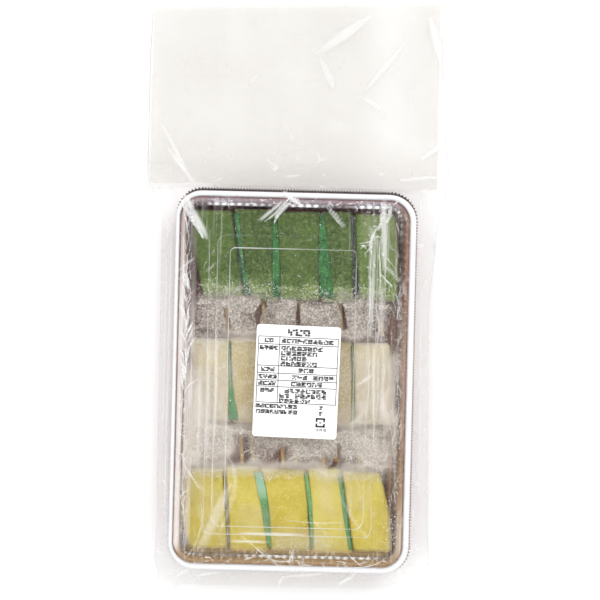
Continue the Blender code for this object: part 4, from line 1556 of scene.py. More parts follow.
@dataclass
class Skewers:
    """The fifteen blocks and their sticks.

    Attributes:
        frost: says how much ice lies at a block's top.
        cell: size of the blocks' mesh cells.
        sag: how unevenly a block's faces swell.
    """

    frost: Frost
    cell: float = 0.75
    sag: float = 0.45

    def build_block(self, dough: Dough, index: int) -> bpy.types.Object:
        """Soft block over its CAD solid, a little swollen and uneven.

        Args:
            dough: the row.
            index: place along the row, from 1.

        Returns:
            The block's object.
        """
        node = frame["nodes"][f"{dough.value}_block_{index}"]
        piece = node.copy()
        piece.data = node.data.copy()
        piece.name = f"{dough.value}_dough_{index}"
        piece.parent = None
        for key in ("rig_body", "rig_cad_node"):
            if key in piece:
                del piece[key]
        bpy.context.scene.collection.objects.link(piece)
        self._fill_bore(piece)
        remesh = piece.modifiers.new("even", "REMESH")
        remesh.mode = "VOXEL"
        remesh.voxel_size = self.cell * MM
        soften = piece.modifiers.new("soften", "SMOOTH")
        soften.iterations = 2
        depsgraph = bpy.context.evaluated_depsgraph_get()
        mesh = bpy.data.meshes.new_from_object(piece.evaluated_get(depsgraph))
        piece.modifiers.clear()
        piece.data = mesh
        mesh.shade_smooth()
        self._swell(piece, dough, index)
        return piece

    @staticmethod
    def _fill_bore(piece: bpy.types.Object) -> None:
        """Close the blind bore, which the stick fills, by taking the convex form."""
        work = bmesh.new()
        work.from_mesh(piece.data)
        hull = bmesh.ops.convex_hull(work, input=work.verts)
        inner = [item for item in hull["geom_interior"] if isinstance(item, bmesh.types.BMVert)]
        bmesh.ops.delete(work, geom=inner, context="VERTS")
        loose = [edge for edge in work.edges if not edge.link_faces]
        bmesh.ops.delete(work, geom=loose, context="EDGES")
        drop = [face for face in work.faces if face.calc_area() < 1e-14]
        bmesh.ops.delete(work, geom=drop, context="FACES")
        work.to_mesh(piece.data)
        work.free()

    def _swell(self, piece: bpy.types.Object, dough: Dough, index: int) -> None:
        """Push the faces in and out by slow noise and paint where ice lies."""
        points = local_points(piece)
        low, high = points.min(0), points.max(0)
        normals = np.zeros(len(points) * 3, np.float32)
        piece.data.vertices.foreach_get("normal", normals)
        normals = normals.reshape(-1, 3)
        seed = index * 7 + len(dough.value) * 31
        side = layered_noise(points[:, 1] + points[:, 2] * 0.7, points[:, 0], 15.0, seed, 2)
        top = layered_noise(points[:, 0], points[:, 1], 11.0, seed + 3, 3)
        fine = layered_noise(points[:, 0] + points[:, 2], points[:, 1] - points[:, 2], 3.2, seed + 9, 2)
        flat = np.hypot(normals[:, 0], normals[:, 1])
        push = self.sag * (0.8 * side * flat + 0.9 * top * np.clip(normals[:, 2], 0, 1)) + 0.16 * fine * flat
        push += 0.62 * np.abs(normals[:, 0]) - 0.05
        moved = points + normals * push[:, None]
        moved[:, 0] += self._bulge(dough, index, points, low, high)
        moved[:, 2] = np.minimum(moved[:, 2], high[2] + 0.1)
        moved[:, 2] = np.maximum(moved[:, 2], low[2])
        move_points(piece, moved)
        ends = np.minimum(points[:, 1] - low[1], high[1] - points[:, 1])
        amount = self.frost.grain_at(points[:, 0], points[:, 1])
        amount = amount + 0.30 * (1.0 - smooth_step(0.0, 4.0, ends))
        paint(piece, "ice", np.clip(amount, 0.0, 1.0))
        pale, deep_tone_and_shade = self._tones(dough, index, points, low, high)
        paint(piece, "pale", pale)
        paint(piece, "deep_tone_and_shade", deep_tone_and_shade)

    @staticmethod
    def _bulge(dough: Dough, index: int, points: Points, low: Points, high: Points) -> Points:
        """Sideways shift of an end block's free side, largest at its top face.

        Args:
            dough: the row.
            index: place along the row, from 1.
            points: the block's points.
            low: their lowest corner.
            high: their highest corner.

        Returns:
            Shift along X for each point.
        """
        if (dough, index) not in BLOCK_BULGES:
            return np.zeros(len(points))
        side, amount, peak = BLOCK_BULGES[dough, index]
        outer = high[1] if dough is Dough.GREEN else low[1]
        along = np.abs(points[:, 1] - outer) / (high[1] - low[1])
        rise = np.where(along < peak, along / peak, (1.0 - along) / (1.0 - peak))
        free = low[0] if side < 0 else high[0]
        near = 1.0 - smooth_step(0.0, BULGE_REACH, np.abs(points[:, 0] - free) - 2.0)
        height = 0.3 + 0.7 * (points[:, 2] - low[2]) / (high[2] - low[2])
        return side * amount * np.sin(np.clip(rise, 0.0, 1.0) * math.pi / 2) * near * height

    @staticmethod
    def _tones(dough: Dough, index: int, points: Points, low: Points, high: Points) -> tuple[Points, Points]:
        """Where a block is paler or deeper than its row, with painted shade along its sides where it meets
        its neighbours.

        Args:
            dough: the row.
            index: place along the row, from 1.
            points: the block's points.
            low: their lowest corner.
            high: their highest corner.

        Returns:
            Shares of the pale colour and of the deep colour, the latter with the painted shade.
        """
        pale_left, pale_right, deep_tone_and_shade = BLOCK_TONES[dough][index - 1]
        across = (points[:, 0] - low[0]) / (high[0] - low[0])
        cloud = 0.5 + 0.5 * layered_noise(points[:, 0], points[:, 1], 12.0, 140 + index, 3)
        pale = (pale_left * (1.0 - across) + pale_right * across) * (0.5 + cloud)
        # painted shade: darker along the block's sides, where it meets its neighbours
        edge = np.minimum(across, 1.0 - across) * (high[0] - low[0])
        rim = 0.35 * (1.0 - smooth_step(0.0, 2.0, edge))
        spot_x, spot_y, size_x, size_y, strength = DEEP_SPOT
        spot = strength * np.exp(
            -(((points[:, 0] - spot_x) / size_x) ** 2 + ((points[:, 1] - spot_y) / size_y) ** 2) ** 2)
        if dough is not Dough.YELLOW or index != 3:
            spot = 0.0
        return np.clip(pale, 0.0, 1.0), np.clip(deep_tone_and_shade * (0.4 + 1.2 * cloud) + rim + spot, 0.0, 0.9)

    def build_stick(self, dough: Dough, index: int) -> bpy.types.Object:
        """Bamboo stick along its CAD solid, a little flattened and uneven, with a cut end.

        Args:
            dough: the row.
            index: place along the row, from 1.

        Returns:
            The stick's object.
        """
        corners = local_points(frame["nodes"][f"{dough.value}_stick_{index}"])
        first, last = self._end(corners, corners[:, 1].min()), self._end(corners, corners[:, 1].max())
        lean = (last[0] - first[0]) / (last[1] - first[1])
        radius = (corners[:, 2].max() - corners[:, 2].min()) / 2
        blunt_first = dough is Dough.YELLOW
        rings, around = 40, 14
        angles = np.arange(around) * math.tau / around
        layers = []
        for i in range(rings):
            share = i / (rings - 1)
            y = first[1] + (last[1] - first[1]) * share
            x = first[0] + lean * (y - first[1])
            tip = (1.0 - share) if not blunt_first else share
            taper = 0.55 + 0.45 * min(1.0, tip * 14.0)
            wobble = 0.06 * math.sin(share * 9.0 + index * 2.1)
            bumps = 1.0 + 0.05 * np.sin(angles * 3 + index) + 0.03 * np.sin(share * 40 + angles * 2)
            layers.append(np.column_stack([
                x + wobble + radius * 0.96 * taper * np.cos(angles) * bumps,
                np.full(around, y), first[2] + radius * 0.9 * taper * np.sin(angles) * bumps]))
        faces = shell_faces(rings, around)
        piece = make_piece(f"{dough.value}_bamboo_{index}", np.concatenate(layers), faces)
        fix_normals(piece)
        return piece

    @staticmethod
    def _end(corners: Points, y: float) -> Points:
        """Middle of the points at one end of a stick."""
        return corners[np.abs(corners[:, 1] - y) < 0.05].mean(0)


@dataclass
class Dividers:
    """Green film strips that stand between blocks and lap over their edges.

    Attributes:
        curl: how far a flap's free edge lifts.
        dull: strips that look grey, by node, and how much.
        shaded: strips whose flap has painted shadow near its web, by node: signed width of the shadowed part.
        narrow: strips whose flap shows only in part, by node, and its share.
        milky: strips with a milky stick end, by node.
    """

    curl: float = 0.3
    dull: dict[str, float] = field(default_factory=lambda: {
        "green_divider_4": 0.30, "white_divider_4": 0.5, "yellow_divider_1": 0.9})
    shaded: dict[str, float] = field(
        default_factory=lambda: {"green_divider_1": 0.45, "green_divider_4": 0.6, "yellow_divider_4": -0.7})
    narrow: dict[str, float] = field(default_factory=lambda: {
        "yellow_divider_1": 0.45, "yellow_divider_4": 0.55, "yellow_divider_3": 0.8})
    milky: dict[str, float] = field(
        default_factory=lambda: {"yellow_divider_2": 0.65, "white_divider_1": 0.3})

    def build(self, node: str) -> bpy.types.Object:
        """Curved strip along its CAD solid.

        Args:
            node: the CAD node.

        Returns:
            The strip's object, with its painted shade and milkiness.
        """
        solid = frame["nodes"][node]
        corners = local_points(solid)
        top, foot = corners[:, 2].max(), corners[:, 2].min()
        stations = np.linspace(
            corners[:, 1].min() + 0.01, corners[:, 1].max() - 0.01, 3) + np.array([0.0, 0.05, 0.0])
        low_points = corners[corners[:, 2] < foot + 0.1]
        web = np.polyval(np.polyfit(low_points[:, 1], low_points[:, 0], 1), stations)
        left, right = zip(*(self._extent(solid, corners, float(y)) for y in stations))
        seed = sum(map(ord, node))
        rows, below, across = 90, 5, 15
        share = np.linspace(0.0, 1.0, rows)
        y = stations[0] + (stations[-1] - stations[0]) * share
        edges = [self._smooth(y, stations, values) for values in (web, left, right)]
        ragged = 0.22 * layered_noise(y, np.zeros_like(y), 4.0, seed, 2)
        points, shade, milky = [], [], []
        shadow = 0.55 if node.startswith("yellow") else 0.95
        side = 1.0 if np.mean(right) + np.mean(left) > 2.0 * np.mean(web) else -1.0
        for i in range(rows):
            web_x, left_x, right_x = (float(edge[i]) for edge in edges)
            start, end = (left_x, right_x + ragged[i]) if side > 0 else (right_x, left_x - ragged[i])
            end = start + (end - start) * self.narrow.get(node, 1.0)
            for j in range(below):
                s = j / below
                points.append(
                    (web_x + 0.2 * math.sin(s * math.pi + seed), y[i], foot + (top - 0.6 - foot) * s))
                # painted shadow on the web down in the gap
                shade.append(0.9)
            for j in range(across):
                t = j / (across - 1)
                x = start + (end - start) * t
                ripple = 0.12 * math.sin(share[i] * 17.0 + seed * 0.7 + t * 3.0)
                points.append((x, y[i], top - 0.12 + ripple + self.curl * t * t))
                # painted shadow on the flap next to its web, and along its edge at the web
                dark = self.shaded.get(node, 0.0)
                in_gap_shadow = dark != 0.0 and (x - web_x) * math.copysign(1.0, dark) < abs(dark)
                shade.append(max(shadow if in_gap_shadow else 0.0, 0.3 * (t < 0.12)))
            milky += [self.milky.get(node, 0.0) * float(smooth_step(0.55, 0.8, share[i]))] * (below + across)
        piece = make_piece(f"{node}_strip", np.array(points), grid_faces(rows, below + across))
        paint(piece, "shade", shade)
        paint(piece, "milky", milky)
        paint(piece, "dull", [self.dull.get(node, 0.0)] * len(points))
        thicken(piece, 0.06)
        return piece

    @staticmethod
    def _extent(solid: bpy.types.Object, corners: Points, y: float) -> tuple[float, float]:
        """Least and greatest X of a strip's flap where it crosses a given Y.

        Args:
            solid: the CAD node's object.
            corners: its points.
            y: where it is cut.

        Returns:
            Both ends of the cut.
        """
        cuts = []
        for edge in solid.data.edges:
            first, second = corners[edge.vertices[0]], corners[edge.vertices[1]]
            if (first[1] - y) * (second[1] - y) < 0.0:
                cuts.append(
                    float(first[0] + (second[0] - first[0]) * (y - first[1]) / (second[1] - first[1])))
        return min(cuts), max(cuts)

    @staticmethod
    def _smooth(y: Points, stations: Points, values: tuple[float, ...]) -> Points:
        """Parabola through a strip's three stations."""
        return np.polyval(np.polyfit(stations, values, 2), y)


def thicken(piece: bpy.types.Object, depth: float) -> None:
    """Turn a sheet into a thin closed body."""
    solid = piece.modifiers.new("thickness", "SOLIDIFY")
    solid.thickness = depth * MM
    solid.offset = 0.0
    depsgraph = bpy.context.evaluated_depsgraph_get()
    mesh = bpy.data.meshes.new_from_object(piece.evaluated_get(depsgraph))
    piece.modifiers.clear()
    piece.data = mesh


# --------------------------------------------------------------------------- bag


@dataclass(frozen=True)
class Crease:
    """One sharp fold or stretch mark in the film: raised relief, whitened as a painted highlight.

    Attributes:
        start: first end, X and Y.
        end: last end, X and Y.
        width: half width at its widest.
        height: how far it stands up.
        white: how white its painted highlight is.
    """

    start: tuple[float, float]
    end: tuple[float, float]
    width: float
    height: float
    white: float

    def at(self, x: Points, y: Points) -> Points:
        """Strength at points, from 0 to 1, tapering to both ends."""
        distance, share = ridge_distance(x, y, self.start, self.end)
        taper = np.sqrt(np.clip(np.sin(np.clip(share, 0.02, 0.98) * math.pi), 0.0, 1.0))
        reach = self.width * (0.35 + 0.65 * taper)
        return taper ** 0.5 * np.exp(-(distance / reach) ** 4)


@dataclass
class Bag:
    """Flat tube bag, drawn tight over the lid, with a tail folded once under itself.

    Attributes:
        rim: the rim's line.
        lid_top: height of the lid's plateau.
        columns: points across each film.
        rows: points along each film.
        fold_z: height of the side folds.
        contact: softness of the contact between the films.
        edge_haze: haze beside the folds of the tail.
        relax_rounds: rounds of relaxation.
        relax_rate: share of the way to its neighbours' mean that a point moves in a round.
        sag: how far it sinks in a round.
        flap_end_y: where the flap under the tail ends.
        flap_rows: rows of the flap.
        seam_y: bottom edge.
        top_left_y: left end of the top edge.
        top_right_y: right end of the top edge.
        left_edge: Y and X of the left fold, from the seam up.
        right_edge: Y and X of the right fold, from the seam up.
        creases: raised creases, whitened as painted highlights.
    """

    rim: RimLine
    lid_top: float
    columns: int = 150
    rows: int = 290
    fold_z: float = 0.9
    contact: float = 0.4
    edge_haze: float = 0.18
    relax_rounds: int = 900
    relax_rate: float = 0.98
    sag: float = 0.002
    flap_end_y: float = 114.0
    flap_rows: int = 60
    seam_y: float = -121.7
    top_left_y: float = 217.0
    top_right_y: float = 223.3
    left_edge: tuple[tuple[float, float], ...] = (
        (
            -121.7, -75.8
        ), (-113.0, -76.6), (-107.0, -78.6), (-100.0, -78.0), (-84.0, -77.6), (10.0, -78.4), (90.0, -78.6),
        (98.0, -79.2), (
            104.0, -84.0), (110.0, -84.8), (114.0, -87.2), (119.0, -88.0), (200.0, -87.9), (223.0, -87.2),
    )
    right_edge: tuple[tuple[float, float], ...] = (
        (
            -121.7, 87.4
        ), (-116.0, 84.8), (-107.0, 83.2), (-84.0, 81.8), (-33.0, 81.0), (10.0, 80.2), (49.0, 79.8),
        (72.0, 82.0), (96.0, 84.0), (101.0, 84.6), (108.0, 87.0), (114.0, 88.6), (122.0, 89.8), (131.0, 88.0),
        (143.0, 87.0), (161.0, 85.4), (178.0, 84.4), (223.0, 82.9),
    )
    creases: tuple[Crease, ...] = (
        Crease(
            (-62.0, 101.0), (-50.5, 81.5), 1.9, 0.7, 0.62
        ), Crease((-64.5, 106.5), (-59.0, 96.0), 1.8, 0.7, 0.6),
        Crease(
            (-7.0, 104.0), (-21.0, 92.0), 0.9, 0.5, 0.55
        ), Crease((-4.0, 103.0), (-12.0, 94.0), 1.0, 0.5, 0.55),
        Crease((-8.0, 109.0), (3.0, 101.5), 1.3, 0.6, 0.8), Crease(
            (19.5, 104.0), (18.0, 101.0), 0.5, 0.4, 0.5),
        Crease(
            (18.0, 101.5), (28.0, 90.5), 0.5, 0.4, 0.6), Crease((50.5, 106.0), (51.5, 66.0), 1.8, 0.6, 0.5),
        Crease(
            (45.5, 84.0), (44.5, 28.0), 1.1, 0.5, 0.42), Crease((51.5, 69.0), (61.0, 58.5), 0.5, 0.4, 0.55),
        Crease((50.0, 62.0), (51.0, 20.0), 1.5, 0.5, 0.28), Crease((42.5, 90.0), (47.5, 78.0), 1.6, 0.5, 0.3),
        Crease(
            (-67.0, 62.0), (-57.5, 70.0), 0.5, 0.4, 0.5), Crease((-48.0, 72.0), (-46.0, 74.5), 0.4, 0.3, 0.5),
        Crease((-51.0, 62.0), (-45.5, 67.0), 0.5, 0.3, 0.35), Crease(
            (-63.8, 101.0), (-63.4, 20.0), 0.7, 0.3, 0.35),
        Crease((-43.5, 30.0), (-43.0, -30.0), 0.8, 0.3, 0.3), Crease(
            (-48.0, 24.0), (-47.5, -50.0), 1.3, 0.3, 0.25),
        Crease(
            (-53.0, 18.0), (-52.5, -46.0), 0.9, 0.3, 0.2), Crease((46.0, 26.0), (47.0, -20.0), 0.7, 0.3, 0.4),
        Crease((52.0, 22.0), (52.5, -22.0), 0.8, 0.3, 0.3), Crease((37.0, -1.0), (47.0, 6.0), 1.1, 0.4, 0.35),
        Crease(
            (-62.0, -48.0), (-47.5, -66.0), 0.5, 0.3, 0.35
        ), Crease((-36.0, -86.5), (25.0, -88.0), 0.55, 0.3, 0.55),
        Crease((-42.0, -91.0), (-6.0, -92.5), 0.5, 0.3, 0.5), Crease(
            (-18.0, -93.5), (-3.5, -107.0), 0.4, 0.3, 0.4),
        Crease((4.0, -94.0), (1.0, -104.0), 0.7, 0.4, 0.4), Crease(
            (9.0, -100.0), (8.5, -110.0), 0.6, 0.5, 0.6),
        Crease((32.0, -103.5), (40.0, -111.0), 0.5, 0.4, 0.6), Crease(
            (-62.0, -112.0), (-48.0, -104.0), 1.4, 0.5, 0.25),
        Crease(
            (-50.0, -100.0), (-34.0, -58.0), 3.0, 0.4, 0.16
        ), Crease((58.0, 16.0), (61.0, -74.0), 0.8, 0.2, 0.2),
        Crease(
            (-5.0, -120.0), (-3.0, -113.5), 0.8, 0.9, 0.6
        ), Crease((-3.0, -113.5), (24.0, -109.0), 0.9, 0.9, 0.5),
        Crease((30.0, -119.0), (38.0, -111.0), 1.4, 0.9, 0.6), Crease(
            (-52.0, -113.5), (-40.0, -111.0), 0.9, 0.6, 0.5),
        Crease(
            (-66.0, -117.0), (-56.0, -108.0), 0.9, 0.7, 0.45
        ), Crease((60.0, -119.5), (70.0, -116.0), 0.8, 0.7, 0.4),
        Crease(
            (-76.0, 134.0), (-58.0, 112.0), 0.9, 0.8, 0.35
        ), Crease((-81.0, 150.0), (-62.0, 117.0), 0.8, 0.8, 0.3),
        Crease(
            (72.0, 131.0), (90.0, 144.0), 1.6, 1.0, 0.35
        ), Crease((40.0, 214.0), (10.0, 192.0), 3.0, 1.1, 0.28),
        Crease(
            (12.0, 190.0), (20.0, 172.0), 2.2, 1.0, 0.25
        ), Crease((62.0, 200.0), (38.0, 170.0), 1.8, 0.9, 0.22),
        Crease(
            (36.0, 168.0), (52.0, 158.0), 1.4, 0.8, 0.22
        ), Crease((76.0, 214.0), (84.0, 186.0), 2.2, 1.0, 0.3),
        Crease((60.0, 118.0), (88.0, 122.0), 0.8, 0.8, 0.35), Crease(
            (-24.0, 180.0), (-30.0, 172.0), 0.6, 0.4, 0.2),
        Crease((-71.5, 90.0), (-72.0, -90.0), 0.5, 0.5, 0.3), Crease(
            (-74.5, 80.0), (-74.8, -60.0), 0.5, 0.5, 0.25),
        Crease((73.5, 60.0), (76.0, -80.0), 0.6, 0.5, 0.2), Crease(
            (-72.5, -104.0), (-77.5, -100.0), 0.6, 0.6, 0.4),
    )

    def build(self) -> bpy.types.Object:
        """Make both films of the tube, welded along the side folds.

        Returns:
            The bag's object, with painted creases and slack.
        """
        share_x = np.linspace(0.0, 1.0, self.columns)
        share_x = 0.5 - 0.5 * np.cos(share_x * math.pi) * 0.35 + (share_x - 0.5) * 0.65
        share_y = np.linspace(0.0, 1.0, self.rows)
        y_line = self.seam_y + (self.top_right_y - self.seam_y) * share_y
        left = np.interp(y_line, *zip(*self.left_edge))
        right = np.interp(y_line, *zip(*self.right_edge))
        x = left[:, None] + (right - left)[:, None] * share_x[None, :]
        y = np.repeat(y_line[:, None], self.columns, axis=1)
        y = y + self._fins(x, y) + self._top_slope(x, y)
        upper_z = self._drape(x, y)
        crease, slack, haze, glint_streak = self._marks(x, y)
        edge = np.minimum(share_x, 1.0 - share_x)[None, :] * 175.0
        lower_z = 0.05 + smooth_step(0.0, 3.0, edge) * 0.25 * (
            1.0 + layered_noise(x, y, 12.0, 90, 3)) + self._tail(y) * 1.45
        upper_z = self._clamp(upper_z + self._relief(x, y), lower_z)
        haze = haze + self.edge_haze * self._tail(y) * (1.0 - smooth_step(0.4, 1.6, edge))
        fold_line = self.fold_z * 0.5 + 0.35 + self._tail(y)[:, :1] * 1.3
        ease = 1.0 - smooth_step(0.0, 2.0, edge)
        upper_z = upper_z * (1.0 - ease) + fold_line * ease
        lower_z = lower_z * (1.0 - ease) + fold_line * ease
        layers = [(x, y, upper_z, crease, slack, haze, glint_streak)]
        layers.append((x, y, lower_z, crease * 0.25, slack * 0.6, haze, np.zeros_like(glint_streak)))
        return self._weld(layers)

    def _tail(self, y: Points) -> Points:
        """0 over the tray and 1 along the empty tail."""
        return smooth_step(self.rim.half_y + 8.0, self.rim.half_y + 24.0, y)

    def _fins(self, x: Points, y: Points) -> Points:
        """How far the pointed corners pull the bottom edge down."""
        near = 1.0 - smooth_step(0.0, 12.0, y - self.seam_y)
        left = 7.2 * np.exp(-((x + 69.5) / 3.6) ** 2)
        right = 3.0 * smooth_step(76.0, 86.0, x)
        return -near * (left + right)

    def _top_slope(self, x: Points, y: Points) -> Points:
        """Slant of the tail's top edge, and its rounded left corner."""
        near = smooth_step(self.rim.half_y + 10.0, self.top_right_y, y)
        slope = (self.top_left_y - self.top_right_y) * (1.0 - (x + 88.0) / 171.0)
        corner = -5.0 * (1.0 - smooth_step(-88.2, -83.0, x)) ** 2
        return near * (slope + corner)

    def _support(self, x: Points, y: Points) -> Points:
        """Height of what the film can lie on: the lid over the tray, and the flap under the tail."""
        inset_x, inset_y = self.rim.half_x - np.abs(x), self.rim.half_y - np.abs(y)
        corner = self.rim.radius
        over = np.hypot(np.maximum(corner - inset_x, 0.0), np.maximum(corner - inset_y, 0.0))
        inset = np.where((inset_x < corner) & (inset_y < corner), corner - over, np.minimum(inset_x, inset_y))
        ground = np.where(y > self.rim.half_y + 6.0, 2.0, 0.3)
        shelf = np.where(y > self.rim.half_y - 9.0, 4.6, 2.2)
        height = np.where(inset > -shelf, self.lid_top - 3.6, ground)
        height = np.where(inset > 19.5, self.lid_top - 3.2, height)
        height = np.where(inset > 25.0, self.lid_top - 1.7, height)
        return np.where(inset > 31.6, self.lid_top + 0.3, height)

    def _drape(self, x: Points, y: Points) -> Points:
        """Relax a taut sheet over what it lies on, from the folds at its sides."""
        support = self._support(x, y)
        z = support.copy()
        edge = self.fold_z + self._tail(y) * 1.2
        for _ in range(self.relax_rounds):
            inner = z[1:-1, 1:-1]
            spread = 0.25 * (z[:-2, 1:-1] + z[2:, 1:-1] + z[1:-1, :-2] + z[1:-1, 2:])
            z[1:-1, 1:-1] = np.maximum(
                support[1:-1, 1:-1], inner + self.relax_rate * (spread - inner) - self.sag)
            z[0], z[-1] = edge[0], edge[-1]
            z[:, 0], z[:, -1] = edge[:, 0], edge[:, -1]
        return z

    def _relief(self, x: Points, y: Points) -> Points:
        """Slow waves and the raised creases, calmest where the film is tight over the lid."""
        tail = self._tail(y)
        over_lid = np.clip(1.0 - smooth_step(0.0, 3.0, np.abs(x) - self.rim.half_x), 0, 1) * (1.0 - tail)
        loose = 0.25 + 0.75 * tail
        waves = layered_noise(x, y, 38.0, 61, 3) * 1.3 + layered_noise(
            x * 0.5 + y, y * 0.3 - x, 17.0, 65, 2) * 0.5
        relief = waves * loose * (1.0 - 0.9 * over_lid)
        for crease in self.creases:
            relief = relief + crease.height * crease.at(x, y)
        return relief

    def _clamp(self, z: Points, floor: Points) -> Points:
        """Keep the upper film over the lower one, with a soft contact, and inside the bag's CAD solid."""
        ceiling = (BAG_HIGH.z - BAG_LOW.z) / MM - 0.02
        clear = (z - floor - 0.2) / self.contact
        return np.minimum(floor + 0.2 + self.contact * np.logaddexp(0.0, clear), ceiling)

    def _marks(self, x: Points, y: Points) -> tuple[Points, Points, Points, Points]:
        """Whiteness of the creases' painted highlights, slackness, haze with painted shadow near the rim and
        a painted sheen on the tail's right, and painted highlight streaks, as four grids.
        """
        # whiteness of the creases: painted highlights
        white = np.zeros_like(x)
        for crease in self.creases:
            white = np.maximum(white, crease.white * crease.at(x, y))
        inset = np.minimum(self.rim.half_x - np.abs(x), self.rim.half_y - np.abs(y))
        slack = 0.50 + 0.35 * layered_noise(x, y, 30.0, 71, 2)
        slack = np.where(inset > 2.0, 0.02 + 0.6 * (1.0 - smooth_step(3.0, 8.0, inset)), slack)
        shelf = np.where(y > self.rim.half_y - 9.0, 4.4, 2.0)
        slack = np.where((inset <= 2.0) & (inset > -shelf), 0.05, slack)
        # painted shadow: more haze on the tail next to the rim, where the tray shades the film
        rim_shadow = (1.0 - smooth_step(0.0, 34.0, y - self.rim.half_y)) * (y > self.rim.half_y + 3.0)
        tail = self._tail(y)
        # painted sheen: less haze on the right part of the tail
        bright = 0.22 * tail * smooth_step(30.0, 55.0, x)
        haze = np.where(inset > -shelf, 0.006, 0.010 + 0.23 * tail * (1.0 - bright) + 0.19 * rim_shadow)
        slack = slack * (1.0 - 0.75 * tail)
        haze = haze * (1.0 + 0.3 * layered_noise(x, y, 26.0, 81, 2))
        # painted highlight streaks over the outer thirds of the tray
        outer_third = smooth_step(22.0, 44.0, np.abs(x + 2.0)) * (inset > 4.0)
        glint_streak = 0.02 * (inset > 4.0) + outer_third * (0.15 + 0.17 * layered_noise(x, y * 0.4, 18.0, 83, 2))
        glint_streak = glint_streak * (
            1.0 - 0.85 * (x < -50.0) * smooth_step(30.0, 42.0, y) * (1.0 - smooth_step(78.0, 90.0, y)))
        glint_streak = glint_streak * (
            1.0 - 0.6 * (x > 50.0) * smooth_step(24.0, 36.0, y) * (1.0 - smooth_step(62.0, 78.0, y)))
        return white, slack, haze, glint_streak

    def _weld(self, layers: list) -> bpy.types.Object:
        """Join the two films, fold the tail under, and weld the sides.

        Args:
            layers: X, Y, Z, crease, slack, haze and streak grids, upper film first.

        Returns:
            The bag's object.
        """
        points, faces, painted = [], [], []
        start = 0
        for order, layer in enumerate(layers):
            grids = self._fold_under(order, *layer)
            points.append(np.column_stack([grid.ravel() for grid in grids[:3]]))
            faces += [tuple(i + start for i in face) for face in grid_faces(*grids[0].shape)]
            painted.append(np.column_stack([grid.ravel() for grid in grids[3:]]))
            start += grids[0].size
        piece = make_piece("bag_film", np.concatenate(points), faces)
        painted = np.concatenate(painted)
        for column, name in enumerate(("crease", "slack", "haze", "glint_streak")):
            paint(piece, name, painted[:, column])
        work = bmesh.new()
        work.from_mesh(piece.data)
        bmesh.ops.remove_doubles(work, verts=work.verts, dist=0.00002)
        bmesh.ops.recalc_face_normals(work, faces=work.faces)
        work.to_mesh(piece.data)
        work.free()
        return piece

    def _fold_under(self, order: int, x: Points, y: Points, z: Points, *painted: Points) -> tuple:
        """Add the fold's half turn and the flap under the tail to one film's rows.

        Args:
            order: 0 for the outer film, 1 for the inner.
            x: X grid.
            y: Y grid.
            z: Z grid.
            painted: crease, slack, haze and streak grids.

        Returns:
            The same grids with the added rows.
        """
        outer = order == 0
        middle = 1.3
        rows = [(x, y, z, *painted)]
        last_x, last_y, last_z = x[-1], y[-1], z[-1]
        _, loose, haze, _ = (grid[-1:] for grid in painted)
        none = np.zeros_like(loose)
        for i in range(1, 6):
            angle = math.pi * i / 6
            rows.append((
                last_x[None], (last_y + math.sin(angle) * 0.3)[None],
                (middle + (last_z - middle) * math.cos(angle))[None], none, loose, haze, none))
        end = self.flap_end_y + 1.5 * layered_noise(last_x, np.zeros_like(last_x), 30.0, 5, 2)
        for i in range(self.flap_rows):
            line = last_y + (end - last_y) * i / (self.flap_rows - 1)
            base = 0.12 if outer else 0.75
            lift = base + 0.12 * (1.0 + layered_noise(last_x, line, 14.0, 95 + order, 2))
            rows.append((last_x[None] * 0.995, line[None], lift[None], none, loose * 0.5, haze, none))
        return tuple(np.concatenate([row[k] for row in rows]) for k in range(len(rows[0])))


@dataclass(frozen=True)
class FoldPatch:
    """A patch of small random folds.

    Attributes:
        x: middle.
        y: middle.
        reach_x: half its width.
        reach_y: half its length.
        count: number of folds.
        length: shortest and longest.
        width: smallest and largest half width.
        white: lowest and highest whiteness.
        heading: main direction in degrees from X.
        spread: how far directions stray, in degrees.
        bend: how much a fold may turn along its way, in degrees.
    """

    x: float
    y: float
    reach_x: float
    reach_y: float
    count: int
    length: tuple[float, float]
    width: tuple[float, float]
    white: tuple[float, float]
    heading: float = 90.0
    spread: float = 30.0
    bend: float = 60.0


